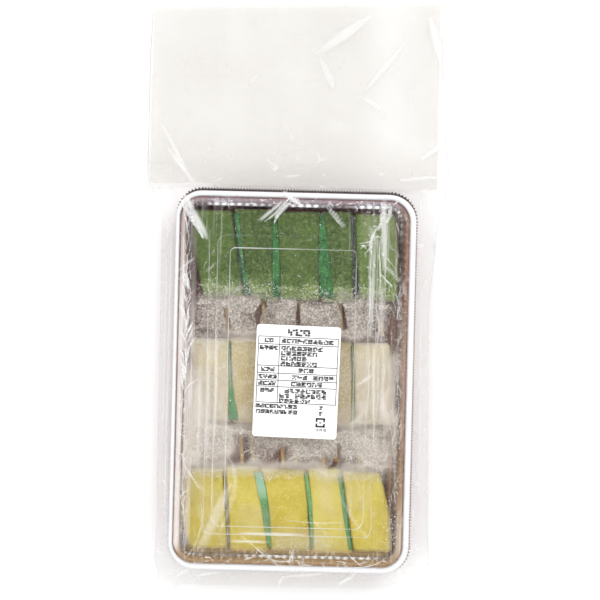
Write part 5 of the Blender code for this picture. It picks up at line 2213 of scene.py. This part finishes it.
@dataclass
class Folds:
    """Crisp little folds and stretch marks that stand on the film, as narrow tapered ribbons whose whiteness
    is a painted highlight.

    Attributes:
        film: the bag's piece, which they lie on.
        drawn: route, half width and whiteness (painted highlight) of the large folds.
        patches: patches of small random folds.
        bare: low and high corner of the place under the label, which stays free.
    """

    film: bpy.types.Object
    lift: float = 0.12
    drawn: tuple[tuple[Route, float, float], ...] = (
        (((-66.0, 101.5), (-62.5, 97.0), (-58.5, 91.0), (-54.5, 85.0), (-52.6, 80.8)), 1.9, 0.74),
        (((-65.5, 103.5), (-62.0, 98.0)), 1.2, 0.6), (
            ((-33.0, -58.0), (-41.0, -76.0), (-52.0, -98.0)), 3.6, 0.20),
        (((-38.0, -40.0), (-31.5, -52.0), (-33.0, -70.0), (-40.0, -88.0)), 1.6, 0.20),
        (
            ((28.0, -62.0), (36.0, -76.0), (47.0, -90.0)), 1.3, 0.16
        ), (((-4.0, -78.0), (14.0, -80.0), (34.0, -79.0)), 0.6, 0.3),
        (
            ((-64.8, 98.0), (-63.0, 92.0), (-61.5, 84.0)), 0.55, 0.5
        ), (((-67.0, 104.0), (-64.0, 100.5)), 0.7, 0.7),
        (
            ((-67.6, 56.5), (-63.0, 59.5), (-58.6, 63.0)), 0.28, 0.8
        ), (((-59.8, 62.6), (-59.3, 57.5)), 0.25, 0.7),
        (((-4.5, 105.0), (-10.0, 98.5), (-18.0, 91.5)), 0.9, 0.6), (
            ((-6.0, 101.0), (-10.5, 95.0), (-12.5, 90.5)), 1.0, 0.55),
        (((-2.5, 107.5), (-6.0, 103.0)), 0.5, 0.9), (((17.0, 101.5), (19.5, 98.0), (27.5, 89.0)), 0.28, 0.75),
        (((19.0, 101.0), (22.5, 95.5), (28.0, 90.0)), 0.25, 0.6),
        (((48.5, 104.5), (50.0, 100.0), (49.5, 94.0), (47.0, 88.0)), 1.9, 0.62),
        (
            ((53.5, 104.0), (54.0, 99.0), (51.5, 92.0)), 1.5, 0.6
        ), (((47.0, 90.0), (44.0, 84.0), (44.0, 74.0)), 1.2, 0.62),
        (((44.2, 82.0), (43.4, 66.0), (43.6, 48.0), (43.0, 32.0)), 0.55, 0.62),
        (((49.0, 84.0), (48.5, 74.0), (49.2, 63.0), (48.0, 50.0)), 0.6, 0.55),
        (
            ((48.7, 64.0), (52.0, 60.5), (56.5, 56.0)), 0.4, 0.85
        ), (((52.8, 92.0), (52.0, 76.0), (52.4, 50.0)), 0.7, 0.4),
        (
            ((46.0, 84.5), (42.0, 81.5), (36.0, 80.5)), 0.5, 0.55
        ), (((44.0, 80.0), (40.0, 79.0), (37.0, 77.0)), 0.4, 0.5),
        (((47.0, 44.0), (49.0, 34.0), (48.0, 22.0)), 0.8, 0.42), (
            ((43.0, 30.0), (44.0, 10.0), (43.0, -20.0)), 0.4, 0.45),
        (((48.5, 20.0), (49.5, 0.0), (48.0, -26.0)), 0.45, 0.35), (
            ((-49.0, 22.0), (-48.0, 0.0), (-48.5, -40.0)), 0.5, 0.3),
        (((-43.5, 28.0), (-43.0, 0.0), (-44.0, -38.0)), 0.35, 0.4), (
            ((-61.5, -47.0), (-57.0, -54.0), (-51.5, -62.5)), 0.3, 0.7),
        (
            ((-27.5, -88.5), (-20.0, -94.0), (-11.5, -101.5)), 0.3, 0.75
        ), (((12.5, -77.0), (18.0, -82.5), (23.5, -88.0)), 0.3, 0.6),
        (((34.5, -97.5), (38.0, -101.0), (43.0, -104.5)), 0.3, 0.8), (
            ((-60.0, -104.0), (-54.0, -96.0), (-50.5, -70.0)), 0.9, 0.22),
        (((26.0, -109.0), (36.0, -106.0), (50.0, -103.5), (58.0, -97.0)), 0.35, 0.7),
        (
            ((-12.0, -100.5), (-4.0, -103.0), (4.0, -101.5)), 0.5, 0.55
        ), (((1.0, -96.0), (3.0, -101.0), (2.0, -106.0)), 0.4, 0.5),
    )
    patches: tuple[FoldPatch, ...] = (
        FoldPatch(-61.4, 20.0, 1.2, 34.0, 50, (5.0, 16.0), (0.25, 0.75), (0.45, 0.85), 90.0, 8.0, 25.0),
        FoldPatch(-62.0, 74.0, 1.0, 24.0, 14, (6.0, 18.0), (0.15, 0.35), (0.35, 0.65), 90.0, 3.0, 10.0),
        FoldPatch(-62.2, -52.0, 2.2, 44.0, 70, (1.5, 7.0), (0.12, 0.35), (0.3, 0.75), 90.0, 22.0, 120.0),
        FoldPatch(-60.4, -60.0, 0.7, 36.0, 26, (4.0, 14.0), (0.12, 0.3), (0.3, 0.65), 90.0, 5.0, 20.0),
        FoldPatch(60.0, 10.0, 2.4, 90.0, 60, (3.0, 12.0), (0.12, 0.35), (0.25, 0.6), 90.0, 6.0, 20.0),
        FoldPatch(61.0, -20.0, 2.6, 84.0, 90, (0.6, 2.5), (0.12, 0.35), (0.35, 0.8), 90.0, 60.0, 90.0),
        FoldPatch(58.5, -86.0, 3.5, 9.0, 34, (0.6, 2.0), (0.15, 0.4), (0.5, 0.9), 90.0, 90.0, 90.0),
        FoldPatch(0.0, -102.5, 56.0, 2.5, 46, (2.0, 8.0), (0.12, 0.45), (0.4, 0.85), 0.0, 30.0, 120.0),
        FoldPatch(0.0, 103.0, 56.0, 2.0, 44, (1.5, 6.0), (0.15, 0.5), (0.5, 0.95), 0.0, 35.0, 90.0),
        FoldPatch(48.0, 80.0, 8.0, 22.0, 60, (1.0, 5.0), (0.15, 0.55), (0.35, 0.8), 80.0, 60.0, 120.0),
        FoldPatch(48.0, -10.0, 10.0, 70.0, 60, (1.5, 9.0), (0.10, 0.30), (0.25, 0.6), 85.0, 25.0, 60.0),
        FoldPatch(-46.0, -10.0, 9.0, 80.0, 60, (1.5, 9.0), (0.10, 0.30), (0.25, 0.6), 90.0, 25.0, 60.0),
        FoldPatch(0.0, 64.0, 44.0, 34.0, 56, (0.8, 3.0), (0.10, 0.25), (0.3, 0.8), 70.0, 70.0, 90.0),
        FoldPatch(-5.0, -38.0, 55.0, 8.0, 60, (2.0, 7.0), (0.12, 0.35), (0.3, 0.65), 60.0, 80.0, 160.0),
        FoldPatch(0.0, -96.0, 30.0, 6.0, 40, (0.6, 2.5), (0.12, 0.3), (0.4, 0.8), 70.0, 90.0, 90.0),
        FoldPatch(0.0, -112.5, 66.0, 4.0, 40, (2.0, 10.0), (0.15, 0.5), (0.2, 0.5), 20.0, 60.0, 90.0),
        FoldPatch(72.5, 0.0, 2.5, 100.0, 36, (2.0, 9.0), (0.1, 0.3), (0.2, 0.5), 90.0, 20.0, 50.0),
        FoldPatch(-72.5, 0.0, 2.5, 100.0, 40, (2.0, 9.0), (0.1, 0.3), (0.2, 0.5), 90.0, 20.0, 50.0),
    )
    bare: tuple[tuple[float, float], tuple[float, float]] = ((-24.0, -34.0), (30.0, 35.0))

    def build(self) -> bpy.types.Object:
        """Lay every ribbon on the film.

        Returns:
            The folds' object, with its painted whiteness.
        """
        film_points = local_points(self.film)
        tree = BVHTree.FromPolygons(
            [tuple(point) for point in film_points.tolist()],
            [tuple(face.vertices) for face in self.film.data.polygons])
        pick = np.random.RandomState(31)
        ribbons = [(self._smooth(np.array(route), pick), width, white) for route, width, white in self.drawn]
        for patch in self.patches:
            ribbons += self._scatter(patch, pick)
        points, faces, white = [], [], []
        for route, width, strength in ribbons:
            if self._covered(route):
                continue
            rows = self._ribbon(route, width, pick)
            heights = [self._film_height(tree, x, y) for x, y, _ in rows.reshape(-1, 3)]
            if min(heights) < 0.0:
                continue
            rows = rows.reshape(-1, 3)
            rows[:, 2] += np.array(heights)
            faces += [tuple(i + len(white) for i in face) for face in grid_faces(len(rows) // 5, 5)]
            points.append(rows)
            # painted highlight: whiteness jittered along the ribbon and brightest along its middle
            highlight_jitter = 0.85 + 0.3 * pick.uniform(-1.0, 1.0, len(rows))
            edge = np.tile((0.35, 0.9, 1.0, 0.9, 0.35), len(rows) // 5)
            white += (strength * highlight_jitter * edge).tolist()
        piece = make_piece("bag_fold_highlights", np.concatenate(points), faces)
        paint(piece, "white", np.clip(white, 0.0, 0.97))
        return piece

    @staticmethod
    def _film_height(tree: BVHTree, x: float, y: float) -> float:
        """Height of the film's upper side at a place, or -1 beside it."""
        place, _, _, _ = tree.ray_cast(Vector((x, y, 80.0)), Vector((0.0, 0.0, -1.0)))
        return place.z if place is not None else -1.0

    def _covered(self, route: Points) -> bool:
        """Whether a route crosses the label's place."""
        (low_x, low_y), (high_x, high_y) = self.bare
        inside = (route[:, 0] > low_x) & (
            route[:, 0] < high_x) & (route[:, 1] > low_y) & (route[:, 1] < high_y)
        return bool(inside.any())

    @staticmethod
    def _smooth(route: Points, pick: np.random.RandomState) -> Points:
        """Even, slightly wavering points along a coarse route."""
        run = run_length(route)
        steps = max(int(run[-1] / 0.5), 6)
        share = np.linspace(0.0, run[-1], steps)
        order = min(len(route) - 1, 3)
        x = np.polyval(np.polyfit(run, route[:, 0], order), share)
        y = np.polyval(np.polyfit(run, route[:, 1], order), share)
        waver = np.convolve(pick.uniform(-0.12, 0.12, steps + 4), np.full(5, 0.2), mode="valid")
        return np.column_stack([x + waver, y - waver])

    @staticmethod
    def _scatter(patch: FoldPatch, pick: np.random.RandomState) -> list[tuple[Points, float, float]]:
        """Random short folds of one patch.

        Args:
            patch: the patch.
            pick: source of chance.

        Returns:
            Route, half width and whiteness of each fold.
        """
        ribbons = []
        for _ in range(patch.count):
            length = pick.uniform(*patch.length)
            steps = max(int(length / 0.4), 4)
            heading = math.radians(patch.heading + pick.uniform(-patch.spread, patch.spread))
            turn = math.radians(pick.uniform(-patch.bend, patch.bend)) / steps
            angles = heading + turn * np.arange(steps) + np.cumsum(pick.uniform(-0.12, 0.12, steps))
            x = patch.x + pick.uniform(-1, 1) * patch.reach_x + np.cumsum(np.cos(angles)) * length / steps
            y = patch.y + pick.uniform(-1, 1) * patch.reach_y + np.cumsum(np.sin(angles)) * length / steps
            ribbons.append((np.column_stack([x, y]), pick.uniform(*patch.width), pick.uniform(*patch.white)))
        return ribbons

    def _ribbon(self, route: Points, width: float, pick: np.random.RandomState) -> Points:
        """Rows of five points across a ribbon that tapers to both ends, its middle raised.

        Args:
            route: the ribbon's line.
            width: its half width.
            pick: source of chance.

        Returns:
            Points, with heights over the film.
        """
        along = np.gradient(route, axis=0)
        along /= np.maximum(np.hypot(along[:, 0], along[:, 1]), 1e-9)[:, None]
        side = np.column_stack([-along[:, 1], along[:, 0]])
        share = np.linspace(0.0, 1.0, len(route))
        lean = pick.uniform(0.35, 0.7)
        taper = np.clip(np.minimum(share / lean, (1.0 - share) / (1.0 - lean)), 0.0, 1.0) ** 0.6
        half = width * (0.08 + 0.92 * taper) * (1.0 + 0.25 * pick.uniform(-1.0, 1.0, len(route)))
        rows = []
        for place, rise in ((-1.0, 0.0), (-0.6, 0.5), (0.0, 1.0), (0.6, 0.5), (1.0, 0.0)):
            spot = route + side * (half * place)[:, None]
            rows.append(np.column_stack([spot, self.lift + rise * np.minimum(half * 0.5, 0.35)]))
        return np.stack(rows, axis=1)


# --------------------------------------------------------------------------- label


@dataclass
class Label:
    """White label with a ruled table and rows of small dark marks in place of words.

    Attributes:
        centre: middle about the tray's centre.
        width: its width.
        length: its length.
        turn: rotation in radians.
        table_rows: height of each table row and how many lines of marks it holds.
    """

    bag_top: float
    centre: tuple[float, float] = (2.8, 0.6)
    width: float = 48.0
    length: float = 64.0
    radius: float = 1.7
    turn: float = math.radians(-1.2)
    margin: float = 1.3
    title_y: float = 27.3
    table_top: float = 25.2
    key_share: float = 0.265
    table_rows: tuple[tuple[float, int], ...] = ((4.3, 1), (12.3, 4), (4.2, 1), (4.0, 1), (3.7, 1), (9.1, 3))
    rule: float = 0.42

    def build_paper(self) -> bpy.types.Object:
        """Thin rounded sheet that bows very slightly.

        Returns:
            The paper's object.
        """
        rings = RoundedRing(24, 32, 8)
        layers = []
        for low in (0.0, 0.14):
            for scale in (1.0,) if low == 0.0 else (1.0, 0.985):
                outline, _ = rings.points(self.width / 2 * scale, self.length / 2 * scale, self.radius)
                layers.append(
                    np.column_stack([outline, np.full(rings.count, low + (0.03 if scale < 1 else 0.0))]))
        points = np.concatenate(layers)
        faces = shell_faces(3, rings.count)
        piece = make_piece("label_sheet", self._place(points), faces, smooth=False)
        fix_normals(piece)
        return piece

    def _place(self, points: Points) -> Points:
        """Turn and move points from the label's own frame onto the bag."""
        cos_t, sin_t = math.cos(self.turn), math.sin(self.turn)
        x = points[:, 0] * cos_t - points[:, 1] * sin_t + self.centre[0]
        y = points[:, 0] * sin_t + points[:, 1] * cos_t + self.centre[1]
        return np.column_stack([x, y, points[:, 2] + self.bag_top + 0.3])

    def build_print(self) -> bpy.types.Object:
        """All rules and marks as one thin raised mesh.

        Returns:
            The print's object.
        """
        boxes = self._rules() + self._words()
        points, faces = [], []
        for x0, y0, x1, y1 in boxes:
            start = len(points)
            points += [(x0, y0, 0.175), (x1, y0, 0.175), (x1, y1, 0.175), (x0, y1, 0.175),
                       (x0, y0, 0.20), (x1, y0, 0.20), (x1, y1, 0.20), (x0, y1, 0.20)]
            for quad in ((3, 2, 1, 0), (4, 5, 6, 7), (0, 1, 5, 4), (1, 2, 6, 5), (2, 3, 7, 6), (3, 0, 4, 7)):
                faces.append(tuple(start + i for i in quad))
        return make_piece("label_print", self._place(np.array(points)), faces, smooth=False)

    @property
    def _table(self) -> tuple[float, float, float]:
        """Left, right and key-column edge of the table."""
        left, right = -self.width / 2 + self.margin, self.width / 2 - self.margin
        return left, right, left + (right - left) * self.key_share

    def _rules(self) -> list[tuple[float, float, float, float]]:
        """Lines of the table as flat boxes."""
        left, right, key = self._table
        half = self.rule / 2
        bottom = self.table_top - sum(height for height, _ in self.table_rows)
        boxes = [(x - half, bottom, x + half, self.table_top) for x in (left, right, key)]
        level = self.table_top
        for height in [0.0] + [row[0] for row in self.table_rows]:
            level -= height
            boxes.append((left - half, level - half, right + half, level + half))
        return boxes

    def _words(self) -> list[tuple[float, float, float, float]]:
        """Rows of small marks: the title, the table's cells and the lines under it."""
        pick = np.random.RandomState(12)
        left, right, key = self._table
        boxes = self._marks(pick, -6.3, self.title_y + 0.6, 3, 4.3, 3.9)
        level = self.table_top
        lengths = iter((10, 8, 7, 5, 8, 3, 8, 6, 9, 9, 7))
        starts = iter((0.6, 0.6, 0.6, 0.6, 0.6, 11.0, 7.5, 7.0, 0.6, 0.6, 0.6))
        keys = iter((2, 4, 3, 4, 4, 3))
        for height, lines in self.table_rows:
            count = next(keys)
            pitch = 2.65
            width = count * pitch
            middle = (left + key) / 2 - width / 2
            first = level - 2.1 if lines > 1 else level - height / 2
            boxes += self._marks(pick, middle, first, count, pitch, 2.5)
            for line in range(lines):
                y = first - line * 2.9
                boxes += self._marks(pick, key + next(starts) + 0.4, y, next(lengths), 3.0, 2.6)
            level -= height
        boxes += self._marks(pick, left - 0.2, level - 2.0, 9, 2.65, 2.4)
        boxes += self._marks(pick, left + 0.1, level - 5.2, 9, 2.65, 2.4)
        boxes += self._marks(pick, right - 9.3, level - 2.0, 1, 2.4, 2.2)
        boxes += self._marks(pick, right - 9.3, level - 5.2, 1, 2.4, 2.2)
        boxes += self._badge(right - 8.2, level - 10.4)
        boxes += self._marks(pick, right - 10.8, level - 14.6, 3, 2.3, 1.3)
        return boxes

    @staticmethod
    def _marks(
        pick: np.random.RandomState, x: float, y: float, count: int, pitch: float, size: float
    ) -> list:
        """A row of square marks, each a loose cluster of tiny blocks.

        Args:
            pick: source of the marks' unevenness.
            x: left end of the row.
            y: middle of the row.
            count: number of marks.
            pitch: distance from mark to mark.
            size: side of a mark.

        Returns:
            Boxes of low and high corners.
        """
        boxes = []
        side = min(size, pitch * 0.9)
        for i in range(count):
            if count > 6 and pick.uniform() < 0.10:
                continue
            left, low = x + i * pitch, y - size / 2
            for column in range(3):
                for row in range(3):
                    if pick.uniform() < 0.20:
                        continue
                    x0 = left + (column + pick.uniform(-0.05, 0.12)) * side / 3
                    y0 = low + (row + pick.uniform(-0.05, 0.12)) * size / 3
                    boxes.append(
                        (
                            x0, y0, x0 + side / 3 * pick.uniform(0.95, 1.25),
                            y0 + size / 3 * pick.uniform(0.75, 1.0))
                    )
        return boxes

    @staticmethod
    def _badge(x: float, y: float) -> list:
        """Small open square with two bars inside, built of flat boxes."""
        half, bar = 2.7, 1.05
        boxes = [
            (x - half, y + half - bar, x + half, y + half), (x - half, y - half, x + half, y - half + bar)]
        boxes += [
            (x - half, y + 0.35, x - half + bar, y + half), (x - half, y - half, x - half + bar, y - 0.45)]
        boxes += [
            (x + half - bar, y + 0.35, x + half, y + half), (x + half - bar, y - half, x + half, y - 0.45)]
        return boxes + [(x - 0.8, y + 0.15, x + 0.8, y + 0.6), (x - 0.5, y - 0.7, x + 0.5, y - 0.25)]


# --------------------------------------------------------------------------- studio


@dataclass
class Studio:
    """Pale floor, soft light and the overhead camera.

    Attributes:
        height: camera height over the floor, in millimetres.
        view_width: width of floor in view.
        aim: point under the camera about the tray's centre.
        roll: turn of the camera about its own axis, in radians.
    """

    height: float = 900.0
    view_width: float = 353.6
    aim: tuple[float, float] = (3.55, 47.25)
    roll: float = math.radians(1.4)

    def build(self, effects: Effects) -> None:
        """Make the floor, lights, world and camera."""
        self._camera()
        self._floor(effects)
        self._light("key_softbox", (0.55, 0.75, 1.15), 0.7, 7.0)
        self._light("fill_softbox", (-0.8, -0.2, 1.0), 0.7, 3.0)
        world = bpy.data.worlds.new("studio_air")
        world.use_nodes = True
        back = world.node_tree.nodes["Background"]
        back.inputs["Color"].default_value = (1.0, 1.0, 1.0, 1.0)
        back.inputs["Strength"].default_value = 0.96
        scene = bpy.context.scene
        scene.world = world
        scene.view_settings.view_transform = "Standard"
        scene.cycles.transparent_max_bounces = 32

    def _camera(self) -> None:
        """Overhead camera, rolled a little against the pack."""
        lens = bpy.data.cameras.new("overhead")
        lens.sensor_width = 36.0
        lens.lens = 36.0 * self.height / self.view_width
        lens.clip_end = 20.0
        camera = bpy.data.objects.new("overhead", lens)
        camera.location = ((CENTRE[0] + self.aim[0]) * MM, (CENTRE[1] + self.aim[1]) * MM, self.height * MM)
        camera.rotation_euler = (0.0, 0.0, self.roll)
        bpy.context.scene.collection.objects.link(camera)
        bpy.context.scene.camera = camera

    @staticmethod
    def _floor(effects: Effects) -> None:
        """Large pale floor just under the pack."""
        half = 3.0
        mesh = bpy.data.meshes.new("studio_floor")
        signs = ((-1, -1), (1, -1), (1, 1), (-1, 1))
        mesh.from_pydata([(half * x, half * y, -0.0004) for x, y in signs],
                         [], [(0, 1, 2, 3)])
        floor = bpy.data.objects.new("studio_floor", mesh)
        bpy.context.scene.collection.objects.link(floor)
        dress(floor, StudioFloor("floor_paint").material(effects))

    @staticmethod
    def _light(name: str, place: tuple[float, float, float], size: float, power: float) -> None:
        """Square softbox aimed at the pack.

        Args:
            name: the light's name.
            place: its position in metres.
            size: its side in metres.
            power: its power in watts.
        """
        data = bpy.data.lights.new(name, "AREA")
        data.size = size
        data.energy = power
        light = bpy.data.objects.new(name, data)
        light.location = place
        light.rotation_euler = (-Vector(place)).to_track_quat("-Z", "Y").to_euler()
        bpy.context.scene.collection.objects.link(light)


# --------------------------------------------------------------------------- the pack


DOUGHS = {
    Dough.GREEN: Gluten(
        "green_gluten", (
            0.022, 0.054, 0.004), (0.044, 0.088, 0.008), (0.185, 0.285, 0.040), (0.012, 0.026, 0.004),
        crystal=(0.165, 0.235, 0.065), crystals=0.28, scale=1700.0, ice_colour=(0.43, 0.52, 0.22),
        flecks=0.17),
    Dough.WHITE: Gluten(
        "white_gluten", (
            0.520, 0.400, 0.160), (0.600, 0.500, 0.270), (0.680, 0.610, 0.460), (0.330, 0.260, 0.100),
        crystal=(0.680, 0.610, 0.440), crystals=0.28, scale=1000.0, ice_colour=(0.80, 0.75, 0.66),
        flecks=0.08),
    Dough.YELLOW: Gluten(
        "yellow_gluten", (
            0.530, 0.415, 0.048), (0.610, 0.510, 0.095), (0.700, 0.630, 0.225), (0.440, 0.335, 0.024),
        crystal=(0.650, 0.550, 0.125), crystals=0.22, scale=1250.0,
        ice_colour=(0.78, 0.73, 0.48), flecks=0.02, pores=0.12),
}

FILMS = {
    Dough.GREEN: DividerFilm("film_in_green", (0.014, 0.115, 0.018), (0.030, 0.175, 0.032)),
    Dough.WHITE: DividerFilm("film_in_white", (0.060, 0.250, 0.085), (0.150, 0.360, 0.160)),
    Dough.YELLOW: DividerFilm("film_in_yellow", (0.070, 0.240, 0.060), (0.150, 0.350, 0.110)),
}


@dataclass
class Pack:
    """The whole pack: builds every sub-assembly in order, dresses it and puts it on its body."""

    effects: Effects
    rim: RimLine = field(default_factory=RimLine)

    def build(self) -> None:
        """Build and settle every piece."""
        frost = Frost(self.rim)
        tray = Tray(self.rim)
        settle(dress(tray.build(), TrayPlastic("maroon_tray").material(self.effects)), "tray_plastic", "tray")
        self._food(frost)
        self._dividers()
        self._ice(frost)
        lid = Lid(self.rim)
        lid_piece = dress(
            lid.build(), ClearSheet("clear_lid").material(self.effects),
            RimHighlight("lid_bead_highlight").material(self.effects))
        settle(lid_piece, "lid_plastic", "lid")
        bag = Bag(self.rim, lid_top=float(local_points(lid_piece)[:, 2].max()))
        film = settle(dress(bag.build(), ClearFilm("bag_film").material(self.effects)), "bag_film", "bag")
        settle(dress(Folds(film).build(), FoldFilm("film_fold_highlights").material(self.effects)), "bag_film")
        label = Label(bag_top=(BAG_HIGH.z - BAG_LOW.z) / MM)
        settle(
            dress(label.build_paper(), LabelPaper("label_paper").material(self.effects)), "label_paper",
            "label")
        settle(dress(label.build_print(), PrintInk("label_ink").material(self.effects)), "label_paper")

    def _food(self, frost: Frost) -> None:
        """Build the fifteen skewers."""
        skewers = Skewers(frost)
        bamboo = Bamboo("bamboo").material(self.effects)
        for dough, finish in DOUGHS.items():
            material = finish.material(self.effects)
            for index in range(1, 6):
                block = dress(skewers.build_block(dough, index), material)
                settle(block, f"{dough.value}_gluten", f"{dough.value}_block_{index}")
                stick = dress(skewers.build_stick(dough, index), bamboo)
                settle(stick, "bamboo", f"{dough.value}_stick_{index}")

    def _dividers(self) -> None:
        """Build every film divider that the CAD has."""
        strips = Dividers()
        for dough, finish in FILMS.items():
            film = finish.material(self.effects)
            for node in sorted(name for name in frame["nodes"] if name.startswith(f"{dough.value}_divider_")):
                settle(dress(strips.build(node), film), "divider_film", node)

    def _ice(self, frost: Frost) -> None:
        """Build the veil and the grains of ice."""
        settle(dress(frost.build_veil(), FrostVeil("frost_veil").material(self.effects)), "bag_film")
        settle(dress(frost.build_grains(), IceCrystal("frost_grains").material(self.effects)), "bag_film")


def main() -> None:
    """Build the studio and the pack."""
    logging.basicConfig(level=logging.INFO, format="%(name)s %(message)s")
    effects = Effects()
    Studio().build(effects)
    Pack(effects).build()
    LOG.info("pack built")


if __name__ == "__main__":
    main()
